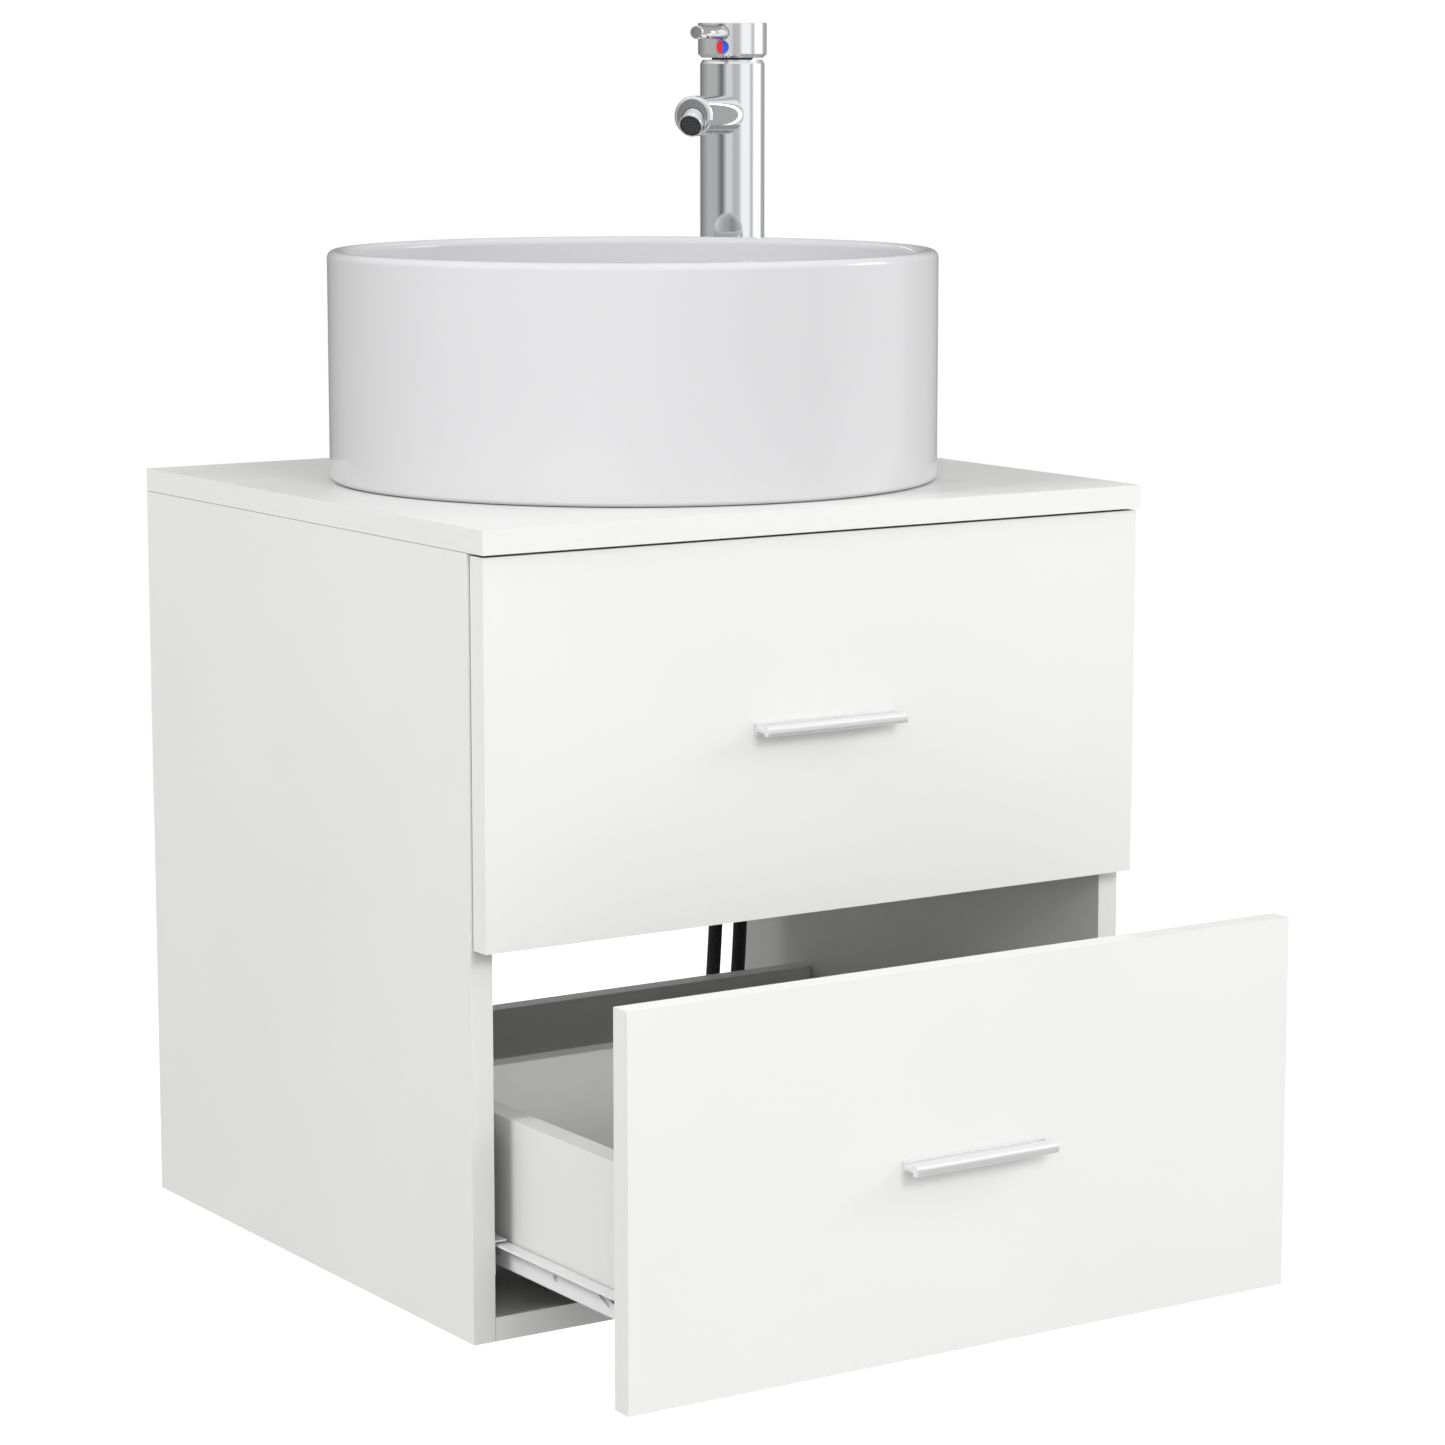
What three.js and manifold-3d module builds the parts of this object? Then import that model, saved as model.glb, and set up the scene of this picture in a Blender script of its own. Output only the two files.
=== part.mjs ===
/**
 * Wall-hung vanity: a cabinet with two drawers, a round vessel basin on its
 * countertop, a tall single-lever faucet and two flexible supply hoses.
 *
 * Millimetres, +Z up, the front faces -Y. The origin is the centre of the
 * hanging rail's back face, where the wall carries the cabinet. Inside the
 * `vanity` group, x = 0 is the middle of the cabinet, y = 0 the wall and
 * z = 0 the underside of the cabinet. The lower drawer is drawn partly open.
 */
import * as THREE from 'three';
import * as BufferGeometryUtils from 'three/addons/utils/BufferGeometryUtils.js';
import Module from 'manifold-3d';

const wasm = await Module();
wasm.setup();

// ---------------------------------------------------------------- dimensions

const GAP = 0.3; // clearance between pieces that touch

// Cabinet
const WIDTH = 490;
const DEPTH = 452;
const HEIGHT = 498; // underside to the countertop's top face
const BOARD = 15;
const CARCASS_SETBACK = 18.7; // side panels behind the countertop's front edge
const REAR_BOARD_FRONT = 353.5; // its front face, from the countertop's front edge
const REAR_BOARD_TOP = 118;
const RAIL_HEIGHT = 80;

// Drawers
const FRONT_SETBACK = 2.7; // drawer fronts behind the countertop's front edge
const FRONT_WIDTH = 487;
const FRONT_HEIGHT = 237.2;
const LOWER_FRONT_Z = 3;
const UPPER_FRONT_Z = 244.2;
const LOWER_PULL = 158.6; // how far the lower drawer stands open
const BOX_BOARD = 15;
const BOX_DEPTH = 300;
const BOX_BOTTOM = 40.5; // box sides above the underside of the drawer front
const BOX_HEIGHT = 93.2;
const SLIDE_SPACE = 12.5; // between the side panel and the drawer side
const DRAWER_FLOOR = 3;
const GROOVE_DEPTH = 5;
const GROOVE_HEIGHT = 8; // floor groove above the lower edge of the box
const PIPE_CUTOUT_WIDTH = 126;
const PIPE_CUTOUT_DEPTH = 150;
const LINER_WALL = 3;

// Roller slides
const SHEET = 1.2;
const SLIDE_LENGTH = 300;
const SLIDE_FRONT_SETBACK = 20.7; // runner's front end behind the countertop's edge
const RUNNER_WIDTH = 9;
const RUNNER_LOW = 38.2; // runner's lower edge above the underside of the drawer front
const RUNNER_HIGH = 59.6;
const RAIL_FLANGE_WIDTH = 9;
const RAIL_TOP = 16.7; // drawer rail's flange above the lower edge of the box
const ROLLER_RADIUS = 8.2;
const ROLLER_WIDTH = 5.6;
const FRONT_ROLLER_FROM_END = 20;
const REAR_ROLLER_FROM_END = 10;
const ROLLER_CLEARANCE = 2; // between a roller's tread and the end of a track or flange
const ROLLER_BORE = 2.3;
const AXLE_RADIUS = 2;
const RIVET_RADIUS = 3.6;
const RAIL_SEAT = 0.2; // between a drawer side and its rail

// Bar handles
const HANDLE_LENGTH = 104.5;
const HANDLE_PROJECTION = 15.4;
const HANDLE_FLANGE = 2;
const HANDLE_BAR = 5;
const HANDLE_BAR_HEIGHT = 6.4;
const HANDLE_FLANGE_HEIGHT = 7.4;
const HANDLE_WEB = 2;

// Basin and waste
const BASIN_RADIUS = 199.5;
const BASIN_HEIGHT = 149;
const BASIN_WALL = 10;
const BASIN_FLOOR = 22;
const WASTE_HOLE_RADIUS = 22.5;
const WASTE_RADIUS = 20.6;
const WASTE_FLANGE_RADIUS = 33;
const TAIL_RADIUS = 16;
const PLUG_RADIUS = 29.5;

// Faucet
const FAUCET_X = 191;
const FAUCET_Y = -53;
const FAUCET_TURN = THREE.MathUtils.degToRad(-140); // spout direction, from +X
const FAUCET_HOLE_RADIUS = 17.5;
const FAUCET_RADIUS = 22.8;
const FAUCET_BODY_TOP = 271.3;
const CAP_BOTTOM = 272.7;
const CAP_TOP = 297;
const CAP_RADIUS = 24.3;
const CAP_CAVITY_RADIUS = 20.4;
const CAP_CAVITY_TOP = 287.6;
const TILT_PIVOT = -7; // along the spout direction, at the cap's lower face
const TILT_LIMIT = THREE.MathUtils.degToRad(20);
const SPOUT_HEIGHT = 233;
const SPOUT_REACH = 95;
const SPOUT_RADIUS = 13.8;
const SPOUT_EDGE = 3;
const AERATOR_TILT = THREE.MathUtils.degToRad(28);
const AERATOR_RADIUS = 8.4;
const AERATOR_LENGTH = 16;
const AERATOR_MOUTH = [100, 226.3]; // along the spout direction, and up
const LEVER_HEIGHT = 290;
const LEVER_REACH = 86.8;
const LEVER_RADIUS = 4.7;
const WATERWAY_RADIUS = 8.5;
const WATERWAY_HEIGHT = SPOUT_HEIGHT - 1;
const STUD_RADIUS = 4;
const STUD_OFFSET = -11; // fixing stud in front of the faucet's axis
const HOSE_OFFSET = 6.5; // each hose beside the faucet's axis
const HOSE_RADIUS = 5.15;

// Derived places, in the vanity group's frame
const TOP = HEIGHT - BOARD;
const SIDE_IN = WIDTH / 2 - BOARD; // inner face of a side panel
const BOX_OUT = SIDE_IN - SLIDE_SPACE; // outer face of a drawer side
const RAIL_CENTRE = TOP - GAP - RAIL_HEIGHT / 2;
const BASIN_Y = -DEPTH / 2;
const SLIDE_FRONT = -DEPTH + SLIDE_FRONT_SETBACK;

// ----------------------------------------------------------------- materials

function finish(color, roughness, metalness = 0) {
  return new THREE.MeshStandardMaterial({ color, roughness, metalness });
}

const melamine = finish(0xf2f2f0, 0.45);
const hardboard = finish(0xe9e7e2, 0.6);
const glaze = finish(0xeeeeee, 0.08);
const chrome = finish(0xd8dadc, 0.08, 1);
const satinAluminium = finish(0xe4e5e7, 0.32, 0.9);
const whiteSteel = finish(0xf4f4f4, 0.35);
const zincSteel = finish(0xb9bcc0, 0.4, 0.9);
const brass = finish(0xc9a55c, 0.35, 0.9);
const rollerPlastic = finish(0xe6e6e2, 0.4);
const whitePlastic = finish(0xededeb, 0.5);
const blackRubber = finish(0x161617, 0.6);
const greyPlastic = finish(0x3c3d3f, 0.6);
const markerPlastic = finish(0xa02040, 0.25);

// ----------------------------------------------------------- geometry helpers

/** A closed three.js geometry as a solid that can be cut and joined. */
function toSolid(geometry) {
  const bare = geometry.clone();
  bare.deleteAttribute('normal');
  bare.deleteAttribute('uv');
  const merged = BufferGeometryUtils.mergeVertices(bare, 1e-4);
  const corners = merged.index.array;
  const faces = [];
  for (let i = 0; i < corners.length; i += 3) {
    const [a, b, c] = [corners[i], corners[i + 1], corners[i + 2]];
    if (a !== b && b !== c && c !== a) faces.push(a, b, c);
  }
  const mesh = new wasm.Mesh({
    numProp: 3,
    vertProperties: new Float32Array(merged.attributes.position.array),
    triVerts: new Uint32Array(faces),
  });
  return new wasm.Manifold(mesh);
}

/** A solid as a three.js geometry. */
function toGeometry(solid) {
  const { vertProperties, triVerts } = solid.getMesh();
  const geometry = new THREE.BufferGeometry();
  geometry.setAttribute('position', new THREE.BufferAttribute(vertProperties, 3));
  geometry.setIndex(new THREE.BufferAttribute(triVerts, 1));
  geometry.computeVertexNormals();
  return geometry;
}

function cut(base, ...tools) {
  const result = tools.reduce((solid, tool) => solid.subtract(toSolid(tool)), toSolid(base));
  return toGeometry(result);
}

function join(base, ...others) {
  const result = others.reduce((solid, other) => solid.add(toSolid(other)), toSolid(base));
  return toGeometry(result);
}

function keepInside(base, limit) {
  return toGeometry(toSolid(base).intersect(toSolid(limit)));
}

/** A box between two corners, each axis given as a pair in either order. */
function block(xs, ys, zs) {
  const geometry = new THREE.BoxGeometry(
    Math.abs(xs[1] - xs[0]),
    Math.abs(ys[1] - ys[0]),
    Math.abs(zs[1] - zs[0]),
  );
  return geometry.translate((xs[0] + xs[1]) / 2, (ys[0] + ys[1]) / 2, (zs[0] + zs[1]) / 2);
}

/** An upright cylinder between two heights. */
function column(radius, low, high, x = 0, y = 0, segments = 32) {
  const geometry = new THREE.CylinderGeometry(radius, radius, high - low, segments);
  return geometry.rotateX(Math.PI / 2).translate(x, y, (low + high) / 2);
}

/** A cylinder along X between two places. */
function axleX(radius, from, to, y, z, segments = 24) {
  const geometry = new THREE.CylinderGeometry(radius, radius, Math.abs(to - from), segments);
  return geometry.rotateZ(Math.PI / 2).translate((from + to) / 2, y, z);
}

/** A closed [radius, height] outline turned about Z, listed with the solid on its left. */
function turned(outline, segments) {
  const points = outline.map(([radius, height]) => new THREE.Vector2(radius, height));
  if (outline[0][0] > 0) points.push(points[0].clone());
  return new THREE.LatheGeometry(points, segments).rotateX(Math.PI / 2);
}

/** A quarter-turn corner as points, about a centre, between two angles in degrees. */
function corner(radius, x, y, from, to, steps = 4) {
  return Array.from({ length: steps + 1 }, (_, i) => {
    const angle = THREE.MathUtils.degToRad(from + ((to - from) * i) / steps);
    return [x + radius * Math.cos(angle), y + radius * Math.sin(angle)];
  });
}

/** An upright prism of an outline in the XY plane, with optional holes. */
function prism(outline, low, high, holes = []) {
  const shape = new THREE.Shape(outline.map(([x, y]) => new THREE.Vector2(x, y)));
  shape.holes = holes;
  const geometry = new THREE.ExtrudeGeometry(shape, {
    depth: high - low,
    bevelEnabled: false,
    curveSegments: 12,
  });
  return geometry.translate(0, 0, low);
}

function hexagon(acrossFlats) {
  const radius = acrossFlats / Math.sqrt(3);
  return corner(radius, 0, 0, 30, 330, 5);
}

function circlePath(radius, x = 0, y = 0) {
  return new THREE.Path().absarc(x, y, radius, 0, Math.PI * 2, true);
}

// --------------------------------------------------------------- scene helpers

/** Adds a named piece to a group. */
function piece(name, geometry, material, parent, position = [0, 0, 0]) {
  const mesh = new THREE.Mesh(geometry, material);
  mesh.name = name;
  mesh.position.set(...position);
  parent.add(mesh);
  return mesh;
}

function subgroup(parent, position) {
  const group = new THREE.Group();
  group.position.set(...position);
  parent.add(group);
  return group;
}

// -------------------------------------------------------------------- cabinet

function addCarcass(vanity) {
  const front = -DEPTH + CARCASS_SETBACK;
  const inner = [-SIDE_IN + GAP, SIDE_IN - GAP];
  const top = block([-WIDTH / 2, WIDTH / 2], [-DEPTH, 0], [TOP, HEIGHT]);
  const wasteHole = column(WASTE_HOLE_RADIUS, TOP - 1, HEIGHT + 1, 0, BASIN_Y);
  const faucetHole = column(FAUCET_HOLE_RADIUS, TOP - 1, HEIGHT + 1, FAUCET_X, FAUCET_Y);
  piece('countertop', cut(top, wasteHole, faucetHole), melamine, vanity);

  for (const [name, side] of [['left', -1], ['right', 1]]) {
    const panel = block([side * SIDE_IN, (side * WIDTH) / 2], [front, 0], [0, TOP - GAP]);
    piece(`${name}_side_panel`, panel, melamine, vanity);
  }
  piece('bottom_panel', block(inner, [front, 0], [0, BOARD]), melamine, vanity);

  const rearFront = -DEPTH + REAR_BOARD_FRONT;
  const rearBoard = block(inner, [rearFront, rearFront + BOARD], [BOARD + GAP, REAR_BOARD_TOP]);
  piece('rear_lower_board', rearBoard, melamine, vanity);

  const rail = block(inner, [-BOARD, 0], [TOP - GAP - RAIL_HEIGHT, TOP - GAP]);
  piece('hanging_rail', rail, melamine, vanity);
}

/** Steel corner angles that tie the hanging rail to the side panels. */
function addHangingBrackets(vanity) {
  const LEG = 40;
  const THICK = 2;
  const SCREW_RADIUS = 2.6;
  const SCREW_INSET = 12; // from the free end of a leg
  const HOLE_LENGTH = 3 * THICK;
  for (const [name, side] of [['left', -1], ['right', 1]]) {
    const wall = side * (SIDE_IN - GAP);
    const inward = wall - side * LEG;
    const back = -BOARD - GAP;
    const low = RAIL_CENTRE - LEG / 2;
    const high = RAIL_CENTRE + LEG / 2;
    const sideLeg = block([wall, wall - side * THICK], [back - LEG, back], [low, high]);
    const railLeg = block([wall, inward], [back - THICK, back], [low, high]);
    const sideHole = axleX(SCREW_RADIUS, wall + side, wall - side * HOLE_LENGTH,
      back - LEG + SCREW_INSET, RAIL_CENTRE, 12);
    const railHole = new THREE.CylinderGeometry(SCREW_RADIUS, SCREW_RADIUS, HOLE_LENGTH, 12);
    railHole.translate(inward + side * SCREW_INSET, back - THICK / 2, RAIL_CENTRE);
    const bracket = cut(join(sideLeg, railLeg), sideHole, railHole);
    piece(`hanging_bracket_${name}`, bracket, zincSteel, vanity);
  }
}

// -------------------------------------------------------------- roller slides

/** Runner on the side panel: a channel with an axle for the front roller. */
function addRunner(vanity, level, name, side, frontZ) {
  const web = side * (SIDE_IN - GAP);
  const webIn = web - side * SHEET;
  const lip = web - side * RUNNER_WIDTH;
  const low = frontZ + RUNNER_LOW;
  const high = frontZ + RUNNER_HIGH;
  const back = SLIDE_FRONT + SLIDE_LENGTH;
  const rollerY = SLIDE_FRONT + FRONT_ROLLER_FROM_END;
  const rollerZ = frontZ + BOX_BOTTOM + RAIL_TOP - SHEET - GAP - ROLLER_RADIUS;
  const trackStart = rollerY + ROLLER_RADIUS + ROLLER_CLEARANCE;
  const STOP_HEIGHT = 6;
  const HOLE_RADIUS = 2.2;
  const HOLE_PLACES = [64, 160, 256]; // from the front end
  const headIn = lip + side * 0.4;
  const headOut = lip + side * 1.4;

  const channel = join(
    block([web, webIn], [SLIDE_FRONT, back], [low, high]),
    block([web, lip], [trackStart, back], [low, low + SHEET]),
    block([web, lip], [SLIDE_FRONT, back], [high - SHEET, high]),
    block([web, lip], [back - SHEET, back], [low, low + STOP_HEIGHT]),
    axleX(AXLE_RADIUS, webIn, (headIn + headOut) / 2, rollerY, rollerZ, 12),
    axleX(RIVET_RADIUS, headOut, headIn, rollerY, rollerZ, 12),
  );
  const holes = HOLE_PLACES.map((along) =>
    axleX(HOLE_RADIUS, web + side, webIn - side, SLIDE_FRONT + along, (low + high) / 2, 8));
  piece(`${level}_runner_${name}`, cut(channel, ...holes), whiteSteel, vanity);

  const rollerX = webIn - side * (GAP + ROLLER_WIDTH / 2);
  piece(`${level}_front_roller_${name}`, rollerShape(), rollerPlastic, vanity,
    [rollerX, rollerY, rollerZ]);
}

/** A plastic wheel on the X axis. */
function rollerShape() {
  const half = ROLLER_WIDTH / 2;
  const wheel = turned([
    [ROLLER_BORE, -half],
    [ROLLER_RADIUS, -half],
    [ROLLER_RADIUS, half],
    [ROLLER_BORE, half],
  ], 20);
  return wheel.rotateY(Math.PI / 2);
}

/** Rail on the drawer side: a folded strip with an axle for the rear roller. */
function addDrawerRail(drawer, level, name, side) {
  const FOOT_WIDTH = 11;
  const SCREW_RADIUS = 2.4;
  const SCREW_PLACES = [57.3, 121.5, 187.5, 251.5]; // from the drawer front's outer face
  const screwZ = BOX_BOTTOM + 8.2;
  const webIn = side * (BOX_OUT + RAIL_SEAT);
  const webOut = webIn + side * SHEET;
  const lip = webOut + side * RAIL_FLANGE_WIDTH;
  const front = BOARD + 1;
  const back = front + SLIDE_LENGTH - 4;
  const low = BOX_BOTTOM - GAP - SHEET;
  const flangeTop = BOX_BOTTOM + RAIL_TOP;
  const rollerY = back - REAR_ROLLER_FROM_END;
  const rollerZ = RUNNER_LOW + SHEET + GAP + ROLLER_RADIUS;
  const flangeEnd = rollerY - ROLLER_RADIUS - ROLLER_CLEARANCE;
  const headIn = webOut + side * (ROLLER_WIDTH + 1);
  const headOut = headIn + side;

  const strip = join(
    block([webIn, webOut], [front, back], [low, flangeTop]),
    block([webOut, webIn - side * FOOT_WIDTH], [front, back], [low, low + SHEET]),
    block([webIn, lip], [front, flangeEnd], [flangeTop - SHEET, flangeTop]),
    axleX(AXLE_RADIUS, webOut, headOut, rollerY, rollerZ, 12),
    axleX(RIVET_RADIUS, headIn, headOut, rollerY, rollerZ, 12),
  );
  const holes = SCREW_PLACES.map((along) =>
    axleX(SCREW_RADIUS, webIn - side, webOut + side, along, screwZ, 8));
  const claw = hookOpening(webIn - side * 0.5, webOut + side, screwZ);
  piece(`${level}_drawer_rail_${name}`, cut(strip, ...holes, claw), whiteSteel, drawer);

  const rollerX = webOut + side * (GAP + ROLLER_WIDTH / 2);
  piece(`${level}_rear_roller_${name}`, rollerShape(), rollerPlastic, drawer,
    [rollerX, rollerY, rollerZ]);
}

/** Three-cornered opening in a drawer rail's web, where its fixing claw is pressed out. */
function hookOpening(from, to, screwZ) {
  const near = 46;
  const far = 72.5;
  const outline = [[near, screwZ - 4.4], [near + 13, screwZ - 4.4], [far, screwZ + 1],
    [far, screwZ + 4], [near, screwZ + 5.4]];
  const shape = new THREE.Shape(outline.map(([y, z]) => new THREE.Vector2(y, z)));
  const geometry = new THREE.ExtrudeGeometry(shape, {
    depth: Math.abs(to - from),
    bevelEnabled: false,
  });
  // The outline's first axis becomes Y and its second Z; the depth runs along X.
  geometry.applyMatrix4(new THREE.Matrix4().set(0, 0, 1, 0, 1, 0, 0, 0, 0, 1, 0, 0, 0, 0, 0, 1));
  return geometry.translate(Math.min(from, to), 0, 0);
}

// -------------------------------------------------------------------- drawers

/** A drawer side or a full-width back, with a groove for the floor. */
function groovedBoard(xs, ys, groove) {
  const zs = [BOX_BOTTOM, BOX_BOTTOM + BOX_HEIGHT];
  const low = BOX_BOTTOM + GROOVE_HEIGHT - GAP;
  const slot = block(groove.xs, groove.ys, [low, low + DRAWER_FLOOR + 2 * GAP]);
  return cut(block(xs, ys, zs), slot);
}

function addBox(drawer, level) {
  const boxFront = BOARD + GAP;
  const boxBack = BOARD + BOX_DEPTH;
  const backFace = boxBack - BOX_BOARD;
  const inner = BOX_OUT - BOX_BOARD;

  for (const [name, side] of [['left', -1], ['right', 1]]) {
    const board = groovedBoard([side * inner, side * BOX_OUT], [boxFront, boxBack], {
      xs: [side * (inner - 1), side * (inner + GROOVE_DEPTH)],
      ys: [boxFront - 1, backFace + GROOVE_DEPTH],
    });
    piece(`${level}_drawer_side_${name}`, board, melamine, drawer);
  }
  return { boxFront, boxBack, backFace, inner };
}

function floorBoard(box, notch) {
  const low = BOX_BOTTOM + GROOVE_HEIGHT;
  const reach = GROOVE_DEPTH - GAP;
  const board = block(
    [-box.inner - reach, box.inner + reach],
    [box.boxFront, box.backFace + reach],
    [low, low + DRAWER_FLOOR],
  );
  return notch ? cut(board, notch) : board;
}

/** Extruded bar handle: a flange on the drawer front, a web and a rounded grip bar. */
function addHandle(drawer, level) {
  const RISE = 0.6; // above the middle of the drawer front
  const flange = HANDLE_FLANGE_HEIGHT / 2;
  const web = HANDLE_WEB / 2;
  const bar = HANDLE_BAR_HEIGHT / 2;
  const barBack = HANDLE_PROJECTION - HANDLE_BAR;
  const round = 2.2;
  const soft = 0.7;
  const outline = [
    [0, -flange],
    [HANDLE_FLANGE, -flange],
    [HANDLE_FLANGE, -web],
    [barBack, -web],
    ...corner(soft, barBack + soft, -bar + soft, 180, 270, 2),
    ...corner(round, HANDLE_PROJECTION - round, -bar + round, -90, 0),
    ...corner(round, HANDLE_PROJECTION - round, bar - round, 0, 90),
    ...corner(soft, barBack + soft, bar - soft, 90, 180, 2),
    [barBack, web],
    [HANDLE_FLANGE, web],
    [HANDLE_FLANGE, flange],
    [0, flange],
  ];
  const bar3d = prism(outline, -HANDLE_LENGTH / 2, HANDLE_LENGTH / 2);
  // Outline's first axis points out of the drawer (-Y), its second up, and the length runs along X.
  bar3d.applyMatrix4(new THREE.Matrix4().set(0, 0, -1, 0, -1, 0, 0, 0, 0, 1, 0, 0, 0, 0, 0, 1));
  piece(`${level}_handle`, bar3d, satinAluminium, drawer, [0, -GAP / 2, FRONT_HEIGHT / 2 + RISE]);
}

function addDrawerFront(drawer, level) {
  const half = FRONT_WIDTH / 2;
  const front = block([-half, half], [0, BOARD], [0, FRONT_HEIGHT]);
  piece(`${level}_drawer_front`, front, melamine, drawer);
}

function addDrawerRails(drawer, level) {
  addDrawerRail(drawer, level, 'left', -1);
  addDrawerRail(drawer, level, 'right', 1);
}

function addLowerDrawer(vanity) {
  const drawer = subgroup(vanity, [0, -DEPTH + FRONT_SETBACK - LOWER_PULL, LOWER_FRONT_Z]);
  addDrawerFront(drawer, 'lower');
  const box = addBox(drawer, 'lower');
  const back = groovedBoard([-box.inner + GAP, box.inner - GAP], [box.backFace, box.boxBack], {
    xs: [-BOX_OUT, BOX_OUT],
    ys: [box.backFace - 1, box.backFace + GROOVE_DEPTH],
  });
  piece('lower_drawer_back', back, melamine, drawer);
  piece('lower_drawer_floor', floorBoard(box), hardboard, drawer);
  addHandle(drawer, 'lower');
  addDrawerRails(drawer, 'lower');
}

/** The upper drawer's back and floor are open in the middle, round the waste pipe. */
function addUpperDrawer(vanity) {
  const drawer = subgroup(vanity, [0, -DEPTH + FRONT_SETBACK, UPPER_FRONT_Z]);
  addDrawerFront(drawer, 'upper');
  const box = addBox(drawer, 'upper');
  const CORNER_RADIUS = 20;
  const LINER_DROP = 4; // liner below the floor board
  const cutoutHalf = PIPE_CUTOUT_WIDTH / 2;
  const cutoutFront = box.boxBack - PIPE_CUTOUT_DEPTH;

  for (const [name, side] of [['left', -1], ['right', 1]]) {
    const xs = [side * (cutoutHalf + GAP), side * (box.inner - GAP)];
    const back = groovedBoard(xs, [box.backFace, box.boxBack], {
      xs: [0, side * BOX_OUT],
      ys: [box.backFace - 1, box.backFace + GROOVE_DEPTH],
    });
    piece(`upper_drawer_back_${name}`, back, melamine, drawer);
  }

  const notch = block(
    [-cutoutHalf - GAP, cutoutHalf + GAP],
    [cutoutFront - GAP, box.boxBack + 1],
    [BOX_BOTTOM, BOX_BOTTOM + 2 * GROOVE_HEIGHT],
  );
  piece('upper_drawer_floor', floorBoard(box, notch), hardboard, drawer);

  const linerOutline = cutoutOutline(cutoutHalf, cutoutFront, box.boxBack, CORNER_RADIUS);
  const linerInner = cutoutOutline(cutoutHalf - LINER_WALL, cutoutFront + LINER_WALL,
    box.boxBack + 1, CORNER_RADIUS - LINER_WALL);
  const linerLow = BOX_BOTTOM + GROOVE_HEIGHT - LINER_DROP;
  const linerHigh = BOX_BOTTOM + BOX_HEIGHT;
  const liner = cut(
    prism(linerOutline, linerLow, linerHigh),
    prism(linerInner, linerLow - 1, linerHigh + 1),
  );
  piece('pipe_cutout_liner', liner, whitePlastic, drawer);
  addHandle(drawer, 'upper');
  addDrawerRails(drawer, 'upper');
}

/** U-shaped outline, open side at the back, with two round front corners. */
function cutoutOutline(half, front, back, radius) {
  return [
    [half, back],
    [-half, back],
    ...corner(radius, -half + radius, front + radius, 180, 270),
    ...corner(radius, half - radius, front + radius, 270, 360),
  ];
}

// ------------------------------------------------------------ basin and waste

function addBasin(vanity) {
  const FOOT_RADIUS = 3;
  const BOWL_CORNER = 26;
  const BOWL_FALL = 3; // from the bowl's corner to the waste
  const WASTE_RECESS = 5;
  const FLANGE_MARGIN = 4; // round the waste's flange
  const inner = BASIN_RADIUS - BASIN_WALL;
  const rim = BASIN_WALL / 2;
  const outline = [
    [WASTE_HOLE_RADIUS, 0],
    ...corner(FOOT_RADIUS, BASIN_RADIUS - FOOT_RADIUS, FOOT_RADIUS, -90, 0, 2),
    ...corner(rim, BASIN_RADIUS - rim, BASIN_HEIGHT - rim, 0, 180, 6),
    ...corner(BOWL_CORNER, inner - BOWL_CORNER, BASIN_FLOOR + BOWL_CORNER, 0, -84, 4),
    [WASTE_FLANGE_RADIUS + FLANGE_MARGIN, BASIN_FLOOR - BOWL_FALL],
    [WASTE_HOLE_RADIUS, BASIN_FLOOR - WASTE_RECESS],
  ];
  piece('basin', turned(outline, 48), glaze, vanity, [0, BASIN_Y, HEIGHT + GAP]);
}

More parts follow.
